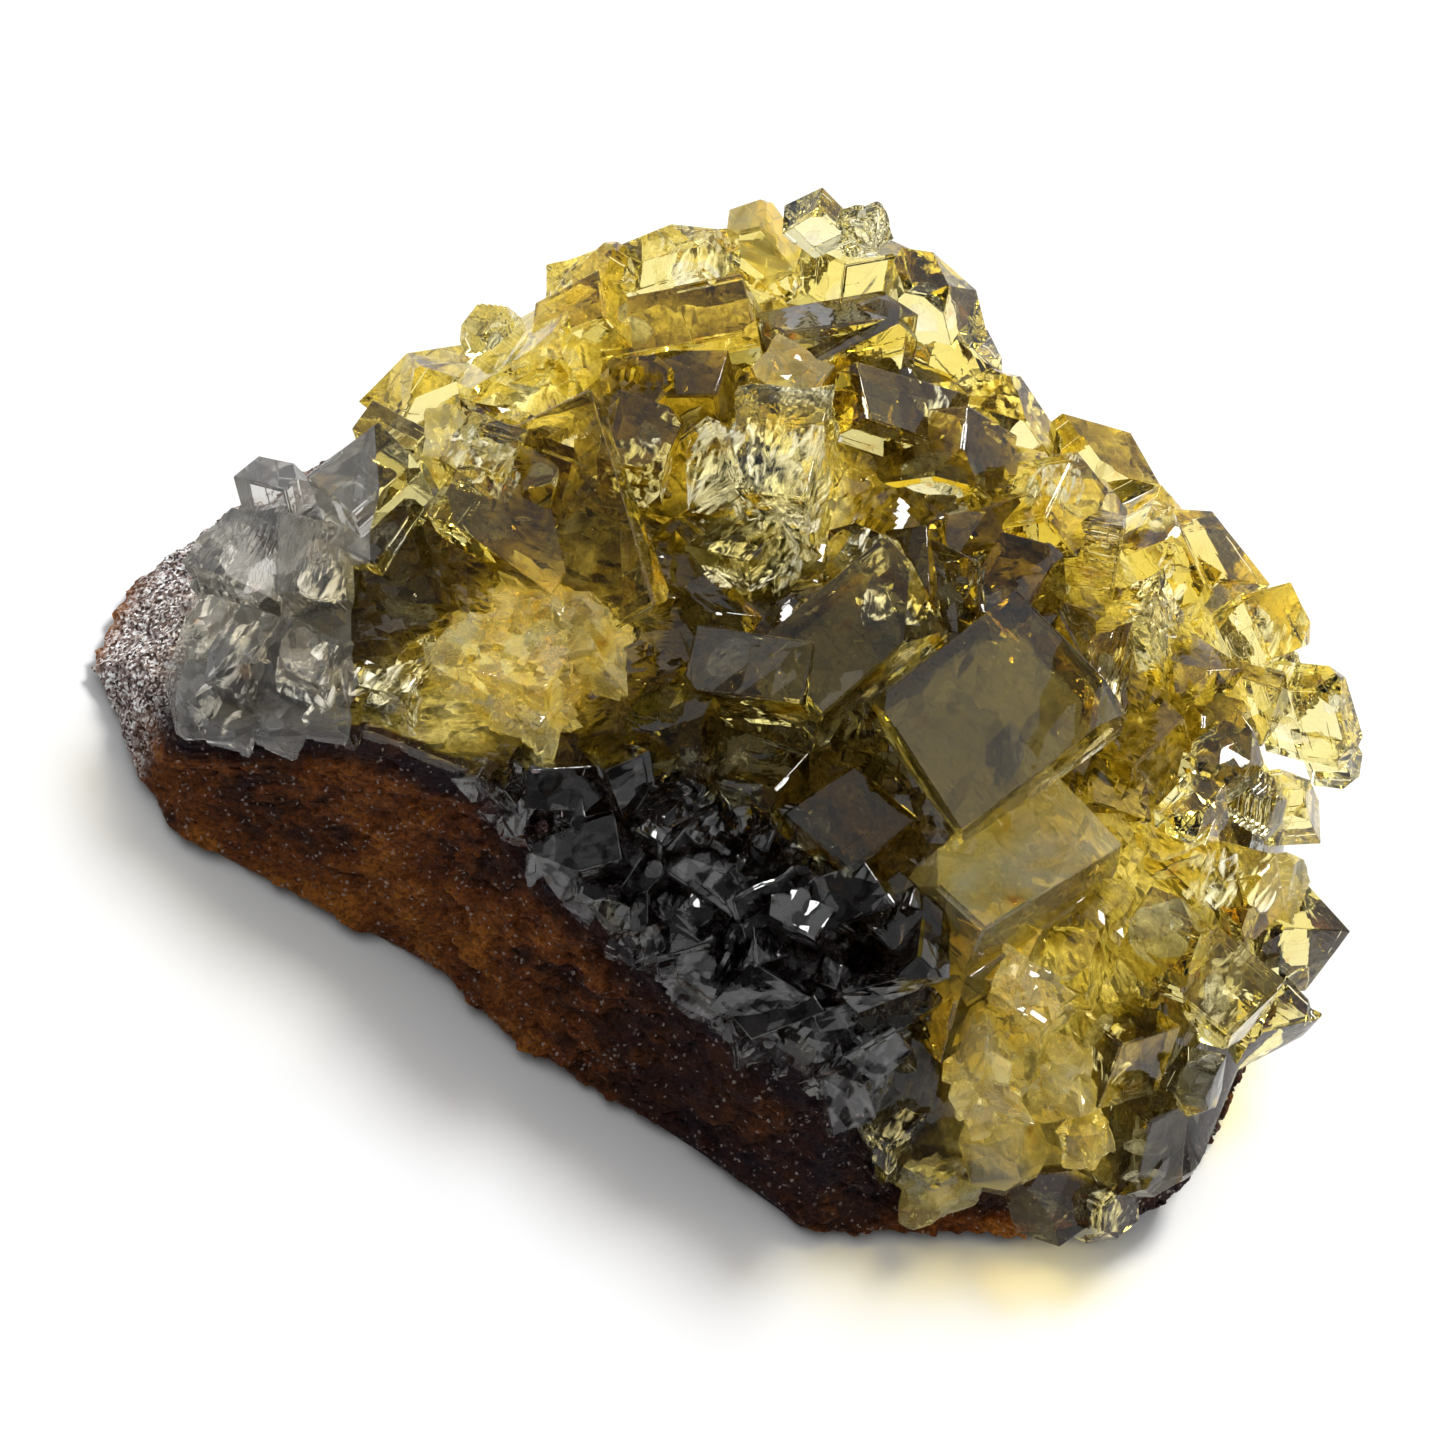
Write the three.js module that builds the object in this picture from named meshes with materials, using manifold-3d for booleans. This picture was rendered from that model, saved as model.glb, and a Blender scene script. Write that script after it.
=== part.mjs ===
// Fluorite crystal cluster: yellow and colourless cubes grown into each other on a brown host rock.
// Millimetres, +Z up. X runs along the long front wall, Y runs to the back, the flat underside is z = 0.
import * as THREE from "three";
import { ConvexGeometry } from "three/addons/geometries/ConvexGeometry.js";
import { mergeVertices } from "three/addons/utils/BufferGeometryUtils.js";
import Module from "manifold-3d";

// Driving dimensions
// General surface of the crust: crown height at the left end, its rise to the middle, how thick the crust
// is there, how fast it rounds up from the edge at the front and the back, and how it falls outside the edge
const CRUST = {
  crownLeft: 12.5, crownRise: 10.5, depth: 6, depthRun: 3, frontShoulder: 5.5, backShoulder: 3, fallOutside: 2.5,
  crownBend: 0.7, riseKeptAtRight: 0.45,
};
// Stretches over which the crown rises from the left end, falls to the right end, and turns from front to back
const CROWN_LEFT = [-35, -20];
const CROWN_RIGHT = [36, 12];
const CROWN_BACK = [-14, -2];
const ROCK_FALL_OUTSIDE = 1.2;
const NEIGHBOUR_GAP = 0.3;
const GAP_ON_SLOPES = 0.6;
const BASE_CHAMFER = 1;
// Walls of the rock: spacing of their points, relief and its share at the upper edge, how far the foot is drawn
// in, the lowest height above the chamfer, heights of the rings as shares, and two slow waves round the plan
const WALL = {
  spacing: 2.9, relief: 0.9, reliefAtEdge: 0.4, footInset: 0.3, lowest: 1.4, shares: [0.28, 0.52, 0.78, 1],
  waves: [0.83, 0.37], waveRelief: 0.5,
};
// How much longer the plan is than deep, for directions round it and for its walls' outward directions
const PLAN_STRETCH = 1.4;
const OUTWARD_STRETCH = 1.3;
// Growth step on a large crystal's face: how high it is and its margins as shares of the edges
const STEP = { rise: 0.5, smallestEdge: 4.4, margin: 0.16, length: 0.7 };
const CHIPPED_SHARE = 0.3;
const CHIP_LENGTH = [0.35, 0.95];
// Grown-together mass under the crystals: depth under the level, inset, least thickness, lumps, grid spacing
const ROOT = { belowLevel: 2, inset: 1.6, thinnest: 0.5, lumps: 0.9, spacing: 4.2 };
// Dark band on the front slope: stretches of distance from the edge where it begins and where it ends, its
// width at the left and farther right and where it widens, its left and right ends, and its surface
const BAND = {
  outer: [-0.6, 0.6], inner: [0, -1.6], width: [2.4, 9], widens: [-10, -3], left: [-15, -12], right: [17.5, 14.5],
  belowLevel: 0.2, lumps: 1.3, underRock: 0.5,
};
// Lumps of a surface that grew against others: frequencies and weights of a wave and of a grain
const LUMPS = { wave: [1.9, 0.7, 1.6, 0.4], bend: 2, grain: [12.9, 78.2, 43.7], waveShare: 0.6, grainShare: 0.8 };
// Depths behind a point, along the view, at which a crystal still hides it
const HIDING_DEPTHS = [0, 1.2, 2.4, 3.6];
// Small crystals between the named ones: grid spacing and jitter, where they are left out, their edges
const FILLER = {
  spacing: 5.3, jitter: 0.6, rows: 12, columns: 15, start: [-35, -24], fromEdge: 0.8, thinCrust: 2.2, thinWidth: 7,
  proud: [-1.2, 0.5], edge: [3.2, 5.2], shares: [0.75, 1.35], largerAtBack: 0.1, back: [8, 16],
  secondEdge: [108, 122], thirdEdge: [232, 246],
};
// Middle of the finished specimen in the plan's own coordinates, moved to x = y = 0 at the end
const PLAN_CENTRE = [0.739, 1.842];

// Plan of the rock's upper edge: x, y, height of the rock there, height of the crystal crust there
const UPPER_EDGE = [
  [-32.6, -10, 6, 7], [-32, -3, 6.2, 7.5], [-28.5, 5, 6.4, 9], [-23.5, 17, 6.5, 10], [-17, 24, 7, 11],
  [-8, 26.5, 7.5, 12], [3, 25.5, 7.5, 12], [14, 22.5, 7, 11], [25, 19.5, 6, 10], [32, 13, 5, 8.5],
  [35.1, -2, 4.2, 6.8], [35.2, -12.5, 4, 6.4], [32.4, -17.2, 4, 7], [26.5, -19.5, 3.6, 7.5],
  [19, -22.3, 4.2, 8.5], [14.7, -23.2, 9.8, 11], [4.7, -22, 9.5, 11.5], [-0.6, -21.5, 10.8, 12.2],
  [-6, -20.5, 11.9, 13], [-12, -18.5, 14.3, 15], [-19.2, -18.5, 13, 14], [-23.5, -19, 10, 11],
  [-28.9, -19.5, 5.7, 7], [-31.4, -16, 5.6, 6.6],
];
// Plan of the rock's foot, counterclockwise from the left tip
const FOOT = [
  [-36.2, -14.2], [-36.2, -5], [-31.5, 6], [-26, 17], [-18, 23.5], [-8, 26], [3, 25.5], [15, 23],
  [26, 19.5], [33, 12], [36.2, -1], [36.2, -8.5], [31.8, -17], [26.5, -20], [19.9, -24.4],
  [16.2, -26.2], [9.1, -25], [-5.9, -23.3], [-9.9, -21.9], [-27.7, -21.7],
];

// The specimen is described as seen from in front and above: edges are given as directions in that view
const VIEW = { elevation: 52, roll: 27.4, distance: 330, target: [-1.5, -4.7, 12], pixelsPerMm: 17.2, frame: 1445 };

// Crystals: name, pixel of the near corner, how proud it stands of the crust (mm),
// directions of its three edges in the view (degrees), lengths of those edges (mm)
const CRYSTALS = [
  ["shoulder", [548, 343], 2.0, [63, 208, 312], [7, 8.5, 4.5]],
  ["shoulder_back", [505, 340], 0.5, [62, 170, 285], [2.8, 3, 3]],
  ["gold_block", [606, 318], 2.5, [95, 200, 318], [3.5, 5, 7]],
  ["peak_tip", [618, 268], 2.0, [105, 215, 330], [2.4, 3.5, 5]],
  ["olive_block", [757, 330], 2.5, [100, 192, 290], [4, 10, 5]],
  ["grey_roof", [785, 332], 2.5, [10, 150, 262], [11, 4, 6]],
  ["dark_roof", [797, 372], 2.0, [27, 145, 262], [10.5, 3, 5]],
  ["top_pane", [700, 270], 3.0, [88, 196, 330], [3.6, 6.5, 4]],
  ["top_knob", [762, 228], 2.5, [80, 195, 310], [2.6, 2.6, 4]],
  ["top_yellow", [818, 212], 3.0, [80, 205, 320], [2.2, 3, 3]],
  ["top_grey", [868, 232], 2.5, [70, 170, 300], [2.4, 2.6, 4]],
  ["top_slab", [845, 265], 2.0, [15, 150, 262], [6, 4.5, 5]],
  ["right_shoulder", [940, 300], 2.5, [52, 165, 288], [3.5, 4.5, 6]],
  ["right_edge_a", [1010, 400], 2.0, [82, 198, 308], [3, 5.5, 6.5]],
  ["oval_olive", [870, 420], 3.0, [100, 210, 345], [4, 3, 10.5]],
  ["oval_low", [960, 470], 2.0, [80, 185, 325], [4.5, 7, 5]],
  ["olive_low", [715, 395], 1.5, [75, 178, 285], [3.5, 8, 5]],
  ["slate_pane", [662, 470], 2.0, [72, 166, 265], [4.5, 3.5, 5]],
  ["tall_gold", [655, 606], 3.0, [109, 206, 345], [14, 8, 2.6]],
  ["gold_inner", [612, 560], 1.2, [70, 190, 300], [5, 6, 5]],
  ["yellow_wedge", [735, 478], 2.5, [115, 215, 335], [4.5, 6, 4]],
  ["silver_block", [805, 498], 3.5, [72, 172, 285], [7.5, 5.5, 8]],
  ["silver_top", [800, 410], 2.0, [60, 155, 285], [4, 4, 5]],
  ["yellow_tall", [885, 590], 3.0, [80, 195, 300], [7, 4, 4]],
  ["mid_wedge", [745, 560], 1.5, [35, 160, 280], [6, 5, 5]],
  ["slate_triangle", [802, 702], 3.0, [80, 174, 290], [4, 7, 4]],
  ["olive_rhomb", [822, 716], 2.5, [40, 135, 265], [10.5, 6, 6]],
  ["big_grey", [962, 834], 3.5, [36, 127, 262], [11.5, 9.5, 7]],
  ["long_gold", [985, 930], 3.0, [32, 140, 258], [12, 6, 6]],
  ["long_grey", [960, 985], 2.5, [33, 145, 262], [13.5, 4.5, 6]],
  ["gold_fin", [1012, 990], 2.5, [62, 160, 275], [4.5, 4, 4]],
  ["bright_yellow", [1045, 520], 2.5, [65, 188, 315], [5, 4.5, 3.5]],
  ["yellow_ramp", [1085, 500], 1.5, [78, 190, 300], [4, 5, 5]],
  ["dark_cube", [1012, 632], 2.0, [58, 152, 290], [5.5, 3.5, 5]],
  ["dark_shards", [985, 655], 1.0, [95, 190, 340], [6.5, 3, 2.5]],
  ["brown_column", [930, 600], 1.5, [88, 190, 310], [5, 3, 3]],
  ["right_tall", [1124, 528], 3.0, [60, 168, 261], [2.4, 4.2, 8]],
  ["gold_right", [1180, 535], 2.5, [98, 205, 300], [3, 3.5, 5.5]],
  ["ribbed_yellow", [1145, 635], 2.0, [70, 190, 305], [5.5, 3.5, 4]],
  ["pale_right", [1270, 662], 2.5, [20, 112, 212], [3.6, 4.2, 7]],
  ["pale_right_low", [1325, 700], 1.5, [50, 165, 285], [2.6, 5, 6]],
  ["clear_fin", [1115, 705], 2.0, [75, 175, 290], [5, 2.5, 4]],
  ["corner_right", [1332, 692], 1.5, [60, 175, 290], [2, 3, 5.5]],
  ["sliver_right", [1338, 748], 1.4, [75, 180, 300], [2.4, 2.6, 4.5]],
  ["dark_right_a", [1218, 782], 2.5, [30, 130, 255], [4, 3, 4]],
  ["dark_right_b", [1272, 806], 2.0, [40, 148, 262], [2, 4, 3]],
  ["dark_right_c", [1190, 826], 1.5, [45, 155, 280], [3.5, 2.5, 3]],
  ["olive_right", [1262, 735], 1.5, [70, 165, 290], [4, 4.5, 4]],
  ["rim_right", [1306, 812], 1.8, [85, 185, 300], [3.2, 3.5, 4]],
  ["yellow_low_right", [1236, 900], 2.0, [45, 160, 285], [4, 5, 4]],
  ["yellow_mid_right", [1195, 870], 1.5, [60, 168, 280], [4, 4, 4]],
  ["frost_right", [1285, 900], 1.5, [70, 180, 300], [3.5, 2.5, 3]],
  ["grey_green", [1228, 1035], 3.5, [42, 138, 265], [4.5, 5, 5]],
  ["edge_cube", [1122, 1046], 3.8, [16, 140, 258], [4.5, 6.2, 5]],
  ["dark_low", [1150, 1122], 3, [25, 150, 265], [3.6, 3, 5]],
  ["dark_low_right", [1203, 1098], 2.6, [60, 165, 280], [3.2, 3, 3]],
  ["yellow_lump", [985, 1080], 4.5, [88, 200, 320], [5.2, 3.6, 4.2]],
  ["pale_lump", [1045, 1030], 3.5, [55, 150, 275], [3, 4.5, 5]],
  ["amber_lump", [1080, 1100], 3.5, [60, 160, 275], [3.5, 3.5, 4]],
  ["bottom_pale", [935, 1185], 3.2, [35, 155, 270], [4.4, 4.2, 4]],
  ["bottom_olive", [1045, 1185], 3.2, [25, 165, 280], [4, 4.4, 4]],
  ["white_pebble", [1095, 1145], 3.8, [45, 160, 275], [2.2, 2.2, 2.2]],
  ["glass_dark", [880, 1045], 3, [36, 130, 262], [4.5, 4, 4]],
  ["edge_dark", [1150, 1172], 2.6, [30, 150, 262], [3.6, 3.4, 2.6]],
  ["lumpy_yellow", [545, 690], 3.5, [62, 165, 285], [7.5, 6, 4]],
  ["lumpy_right", [590, 650], 3.0, [80, 190, 310], [4, 4, 4]],
  ["lumpy_low", [540, 730], 2.0, [50, 150, 272], [4, 4, 3]],
  ["lumpy_left", [470, 680], 2.0, [70, 175, 290], [5, 3, 3]],
  ["grey_gold", [438, 512], 2.5, [58, 215, 323], [4.5, 2.5, 8]],
  ["brown_block", [425, 590], 1.5, [100, 205, 325], [5, 4, 4]],
  ["dark_glass", [352, 515], 2.5, [42, 140, 290], [4.8, 3.8, 4]],
  ["clear_step", [500, 478], 2.0, [70, 165, 280], [3.5, 3.5, 4]],
  ["olive_pane", [545, 500], 1.5, [62, 165, 285], [5, 3.5, 5]],
  ["white_fracture", [450, 460], 2.5, [85, 190, 300], [4.5, 2, 2.5]],
  ["grey_pale", [405, 458], 1.8, [50, 152, 285], [2.4, 4, 4]],
  ["brown_pane", [375, 565], 2.5, [58, 152, 290], [4.5, 3, 4]],
  ["flag_left", [285, 490], 2.2, [48, 165, 280], [2.5, 3.8, 4]],
  ["striated", [265, 595], 2.6, [72, 165, 290], [5, 4.6, 7]],
  ["striated_right", [335, 590], 2.6, [95, 190, 320], [5, 3.5, 6]],
  ["clear_left_a", [240, 680], 3.0, [62, 160, 290], [4.5, 2.8, 4]],
  ["clear_left_b", [320, 685], 3.0, [62, 165, 285], [3.8, 3.6, 4]],
  ["clear_left_c", [245, 735], 2.4, [60, 165, 280], [2.8, 3, 3.5]],
  ["milky_left", [405, 695], 2.6, [65, 170, 285], [4, 4.6, 4]],
  ["bottom_mid", [1010, 1150], 3.4, [60, 172, 288], [3.6, 3.6, 4]],
  ["bottom_clear", [890, 1150], 2.8, [42, 150, 272], [3.6, 3.4, 4]],
  ["bottom_rim", [1105, 1205], 2.4, [32, 160, 275], [3.2, 3.6, 3]],
  ["seam_low", [1085, 985], 2.6, [70, 170, 285], [3.5, 3, 4]],
  ["seam_right", [1180, 960], 2.4, [55, 160, 280], [4, 4, 4]],
  ["dark_under_a", [765, 800], 2.4, [52, 160, 276], [4.6, 5, 4]],
  ["dark_under_b", [850, 872], 2.6, [38, 138, 262], [5, 5, 4]],
  ["dark_under_c", [690, 742], 2.8, [62, 170, 285], [4.2, 4.4, 4]],
  ["dark_under_d", [905, 962], 2.6, [36, 134, 262], [4, 4.5, 4]],
  ["clear_left_d", [207, 705], 2.6, [68, 172, 290], [3, 2.4, 3.5]],
  ["clear_left_e", [292, 742], 2.8, [56, 160, 276], [2.8, 2.8, 3.5]],
  ["clear_left_f", [212, 640], 2.8, [66, 168, 285], [3.2, 2.2, 3.5]],
  ["clear_left_g", [350, 728], 2.6, [62, 170, 290], [2.8, 3, 3.5]],
];
// Face where the colourless crystals of the left end meet the yellow ones: x + slope * y = offset
const COLOURLESS_EDGE = { slope: 0.545, offset: -30.2 };

const wasm = await Module();
wasm.setup();
const radians = THREE.MathUtils.degToRad;
const clamp = THREE.MathUtils.clamp;
const lerp = THREE.MathUtils.lerp;

// The same run of numbers between 0 and 1 every time
function makeRandom(seed) {
  const multiplier = 48271;
  const modulus = 2147483647;
  let state = seed;
  return () => {
    state = (state * multiplier) % modulus;
    return state / modulus;
  };
}

// How far a value has gone from the first to the second end of a stretch, from 0 to 1
function shareOf([from, to], value) {
  return clamp((value - from) / (to - from), 0, 1);
}

// Nearest point of the upper edge: distance (positive inside), rock height and crust height there
function nearestEdge(x, y) {
  let best = { distance: Infinity };
  let inside = false;
  UPPER_EDGE.forEach((a, i) => {
    const b = UPPER_EDGE[(i + 1) % UPPER_EDGE.length];
    const [dx, dy] = [b[0] - a[0], b[1] - a[1]];
    const t = clamp(((x - a[0]) * dx + (y - a[1]) * dy) / (dx * dx + dy * dy), 0, 1);
    const distance = Math.hypot(x - a[0] - t * dx, y - a[1] - t * dy);
    if (distance < best.distance) {
      best = { distance, rock: lerp(a[2], b[2], t), crust: lerp(a[3], b[3], t) };
    }
    if ((a[1] > y) !== (b[1] > y) && x < (dx * (y - a[1])) / dy + a[0]) {
      inside = !inside;
    }
  });
  best.distance *= inside ? 1 : -1;
  return best;
}

// Height of the crust's general surface, or of that surface drawn in from the edge by an inset
function crustLevel(x, y, inset = 0) {
  const edge = nearestEdge(x, y);
  edge.distance -= inset;
  const left = shareOf(CROWN_LEFT, x);
  const right = shareOf(CROWN_RIGHT, x);
  const crown = CRUST.crownLeft + CRUST.crownRise * left ** CRUST.crownBend * lerp(CRUST.riseKeptAtRight, 1, right);
  const run = lerp(CRUST.frontShoulder, CRUST.backShoulder, shareOf(CROWN_BACK, y));
  const rise = 1 - Math.exp(-Math.max(edge.distance, 0) / run);
  return edge.crust + (crown - edge.crust) * rise + Math.min(edge.distance, 0) * CRUST.fallOutside;
}

// Height of the surface where the crystals grew on the rock
function rockLevel(x, y) {
  const edge = nearestEdge(x, y);
  if (edge.distance < 0) {
    return edge.rock + ROCK_FALL_OUTSIDE * edge.distance;
  }
  const rimDepth = edge.crust - edge.rock;
  const depth = lerp(rimDepth, CRUST.depth, 1 - Math.exp(-edge.distance / CRUST.depthRun));
  return crustLevel(x, y) - depth;
}

// The view's own axes: right, up and depth
const elevation = radians(VIEW.elevation);
const roll = radians(VIEW.roll);
const sideways = new THREE.Vector3(1, 0, 0);
const rising = new THREE.Vector3(0, Math.sin(elevation), Math.cos(elevation));
const viewRight = sideways.clone().multiplyScalar(Math.cos(roll)).addScaledVector(rising, Math.sin(roll));
const viewUp = sideways.clone().multiplyScalar(-Math.sin(roll)).addScaledVector(rising, Math.cos(roll));
const viewDepth = new THREE.Vector3(0, Math.cos(elevation), -Math.sin(elevation));
const eye = new THREE.Vector3(...VIEW.target).addScaledVector(viewDepth, -VIEW.distance);

// Where the line of sight through a pixel first comes down to a given height over the crust
function pointOnCrust([px, py], proud) {
  const centre = VIEW.frame / 2;
  const direction = viewDepth.clone().multiplyScalar(VIEW.pixelsPerMm * VIEW.distance);
  direction.addScaledVector(viewRight, px - centre).addScaledVector(viewUp, centre - py);
  const [highest, step] = [34, 0.25];
  const [nearLevel, leaving] = [3, 0.2];
  let closest = Infinity;
  let found = null;
  for (let z = highest; z > 0; z -= step) {
    const point = eye.clone().addScaledVector(direction, (z - eye.z) / direction.z);
    const gap = z - crustLevel(point.x, point.y) - proud;
    if (gap < closest) {
      closest = gap;
      found = point;
    }
    const pastTheCrown = closest < nearLevel && gap > closest + leaving;
    if (gap <= 0 || pastTheCrown) {
      break;
    }
  }
  return found;
}

// Three perpendicular edges that run away from the viewer, from their directions in the view
function cubeAxes(seen) {
  const angles = seen.map(radians);
  const cosine = (i, j) => Math.cos(angles[i] - angles[j]);
  const [c01, c02, c12] = [cosine(0, 1), cosine(0, 2), cosine(1, 2)];
  const depths = [-c01 * c02 / c12, -c01 * c12 / c02, -c02 * c12 / c01].map(Math.sqrt);
  return angles.map((angle, i) => viewRight.clone().multiplyScalar(Math.cos(angle))
    .addScaledVector(viewUp, Math.sin(angle)).addScaledVector(viewDepth, depths[i]).normalize());
}

// Closed three.js geometry to solid and back
function toSolid(geometry) {
  const bare = geometry.clone();
  bare.deleteAttribute("normal");
  bare.deleteAttribute("uv");
  const merged = mergeVertices(bare, 1e-5);
  return new wasm.Manifold(new wasm.Mesh({
    numProp: 3,
    vertProperties: new Float32Array(merged.attributes.position.array),
    triVerts: new Uint32Array(merged.index.array),
  }));
}

function toGeometry(solid) {
  const mesh = solid.getMesh();
  const geometry = new THREE.BufferGeometry();
  geometry.setAttribute("position", new THREE.BufferAttribute(mesh.vertProperties, 3));
  geometry.setIndex(new THREE.BufferAttribute(mesh.triVerts, 1));
  return geometry;
}

function joinAll(solids) {
  let round = solids;
  while (round.length > 1) {
    const next = [];
    for (let i = 0; i < round.length; i += 2) {
      next.push(i + 1 < round.length ? round[i].add(round[i + 1]) : round[i]);
    }
    round = next;
  }
  return round[0];
}

// The largest separate body of a solid, without loose crumbs
function largestBody(solid) {
  const bodies = solid.decompose();
  return bodies.reduce((best, body) => (body.volume() > best.volume() ? body : best));
}

// Closed block between two height functions over a grid of x and y lines
function blockBetween(xs, ys, lower, upper) {
  const positions = [];
  const index = [];
  const layer = xs.length * ys.length;
  for (const height of [lower, upper]) {
    for (const y of ys) {
      for (const x of xs) {
        positions.push(x, y, height(x, y));
      }
    }
  }
  const at = (i, j, top) => j * xs.length + i + (top ? layer : 0);
  const quad = (a, b, c, d) => index.push(a, b, c, a, c, d);
  for (let j = 0; j + 1 < ys.length; j += 1) {
    for (let i = 0; i + 1 < xs.length; i += 1) {
      quad(at(i, j, true), at(i + 1, j, true), at(i + 1, j + 1, true), at(i, j + 1, true));
      quad(at(i, j, false), at(i, j + 1, false), at(i + 1, j + 1, false), at(i + 1, j, false));
    }
  }
  for (let i = 0; i + 1 < xs.length; i += 1) {
    const last = ys.length - 1;
    quad(at(i, 0, false), at(i + 1, 0, false), at(i + 1, 0, true), at(i, 0, true));
    quad(at(i + 1, last, false), at(i, last, false), at(i, last, true), at(i + 1, last, true));
  }
  for (let j = 0; j + 1 < ys.length; j += 1) {
    const last = xs.length - 1;
    quad(at(0, j + 1, false), at(0, j, false), at(0, j, true), at(0, j + 1, true));
    quad(at(last, j, false), at(last, j + 1, false), at(last, j + 1, true), at(last, j, true));
  }
  const geometry = new THREE.BufferGeometry();
  geometry.setAttribute("position", new THREE.Float32BufferAttribute(positions, 3));
  geometry.setIndex(index);
  return toSolid(geometry);
}

// Evenly spaced lines from low to high, at most the given step apart
function gridLines(low, high, step) {
  const count = Math.ceil((high - low) / step);
  return Array.from({ length: count + 1 }, (_, i) => lerp(low, high, i / count));
}

// A cube-like block, with its near corner chipped off where it has a chip
function crystalHull(corner, axes, size, chip) {
  const points = [];
  for (let k = 0; k < 8; k += 1) {
    const part = [k & 1, (k >> 1) & 1, k >> 2];
    const far = corner.clone();
    axes.forEach((axis, i) => far.addScaledVector(axis, part[i] * size[i]));
    if (k > 0 || chip === 0) {
      points.push(far);
    }
  }
  if (chip > 0) {
    axes.forEach((axis) => points.push(corner.clone().addScaledVector(axis, chip)));
  }
  return toSolid(new ConvexGeometry(points));
}

// The crystal with a thinner layer on one face, which leaves a margin along the face's edges
function crystalSolid({ corner, axes, size, chip, stepFace }) {
  const body = crystalHull(corner, axes, size, chip);
  if (stepFace === undefined) {
    return body;
  }
  const layerSize = size.map((length, i) => (i === stepFace ? length : length * STEP.length));
  const layerCorner = corner.clone();
  axes.forEach((axis, i) => layerCorner.addScaledVector(axis, i === stepFace ? -STEP.rise : size[i] * STEP.margin));
  return body.add(crystalHull(layerCorner, axes, layerSize, 0));
}

// Crystals that were picked out one by one
function namedCrystals() {
  const random = makeRandom(20117);
  return CRYSTALS.map(([name, pixel, proud, seen, size]) => {
    const [chance, depth, face] = [random(), random(), random()];
    return {
      name,
      corner: pointOnCrust(pixel, proud),
      axes: cubeAxes(seen),
      size,
      chip: chance < CHIPPED_SHARE ? lerp(...CHIP_LENGTH, depth) : 0,
      stepFace: Math.min(...size) > STEP.smallestEdge ? Math.floor(3 * face) : undefined,
    };
  });
}

// Whether a crystal holds a point or lies just behind it in the view
function coveredBy(crystal, point) {
  return HIDING_DEPTHS.some((depth) => {
    const offset = point.clone().addScaledVector(viewDepth, depth).sub(crystal.corner);
    return crystal.axes.every((axis, i) => {
      const along = offset.dot(axis);
      return along > 0 && along < crystal.size[i];
    });
  });
}

// Smaller crystals that fill the crust between the named ones and cover its back
function fillerCrystals(named) {
  const random = makeRandom(7919);
  const fillers = [];
  const rowSpacing = FILLER.spacing * Math.sin(Math.PI / 3);
  for (let row = 0; row < FILLER.rows; row += 1) {
    for (let column = 0; column < FILLER.columns; column += 1) {
      const [shiftX, shiftY, turned, spreadA, spreadB] = [random(), random(), random(), random(), random()];
      const [growth, rise, ...lengths] = [random(), random(), random(), random(), random()];
      const x = FILLER.start[0] + FILLER.spacing * (column + (row % 2) / 2 + FILLER.jitter * (shiftX - 0.5));
      const y = FILLER.start[1] + rowSpacing * row + FILLER.spacing * FILLER.jitter * (shiftY - 0.5);
      const edge = nearestEdge(x, y);
      const rockShows = edge.crust - edge.rock < FILLER.thinCrust && edge.distance < FILLER.thinWidth;
      const corner = new THREE.Vector3(x, y, crustLevel(x, y) + lerp(...FILLER.proud, rise));
      if (edge.distance < FILLER.fromEdge || rockShows || named.some((crystal) => coveredBy(crystal, corner))) {
        continue;
      }
      const turn = 360 * turned;
      const seen = [turn, turn + lerp(...FILLER.secondEdge, spreadA), turn + lerp(...FILLER.thirdEdge, spreadB)];
      const edgeLength = lerp(...FILLER.edge, growth) * (1 + FILLER.largerAtBack * shareOf(FILLER.back, y));
      fillers.push({
        corner,
        axes: cubeAxes(seen),
        size: lengths.map((share) => edgeLength * lerp(...FILLER.shares, share)),
        chip: 0,
      });
    }
  }
  return fillers;
}

// Rough block of host rock with walls that lean in from the foot to the upper edge
function rockBlock() {
  const random = makeRandom(4243);
  const edge = closedRun(UPPER_EDGE.map(([x, y, z]) => new THREE.Vector3(x, y, z)));
  const foot = closedRun(FOOT.map(([x, y]) => new THREE.Vector3(x, y, 0)));
  const directions = ringDirections(foot.getLength() / WALL.spacing);
  const footPoints = pointsTowards(foot, directions);
  const edgePoints = pointsTowards(edge, directions);
  const outwards = footPoints.map((low) => new THREE.Vector3(low.x, low.y * OUTWARD_STRETCH, 0).normalize());
  const rings = [footPoints.map((low, i) => low.clone().addScaledVector(outwards[i], -BASE_CHAMFER))];
  [0, ...WALL.shares].forEach((share) => {
    rings.push(footPoints.map((low, i) => {
      const point = low.clone().lerp(edgePoints[i], share);
      point.z = share === 0 ? BASE_CHAMFER : Math.max(point.z, BASE_CHAMFER * WALL.lowest);
      const ridge = Math.sin(i * WALL.waves[0]) * Math.sin(i * WALL.waves[1] + 1) * WALL.waveRelief;
      const relief = (random() - 0.5 + ridge) * WALL.relief * (share === 1 ? WALL.reliefAtEdge : 1);
      return point.addScaledVector(outwards[i], relief - (share === 0 ? WALL.footInset : 0));
    }));
  });
  const highest = 40;
  rings.push(rings[rings.length - 1].map((point) => new THREE.Vector3(point.x, point.y, highest)));
  return toSolid(loft(rings));
}

function closedRun(points) {
  const path = new THREE.CurvePath();
  points.forEach((point, i) => path.add(new THREE.LineCurve3(point, points[(i + 1) % points.length])));
  return path;
}

// Direction of a plan point from the plan's middle, with the depth stretched to the length
function turnOf(x, y) {
  return (Math.atan2(y * PLAN_STRETCH, x) + 2 * Math.PI) % (2 * Math.PI);
}

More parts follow.
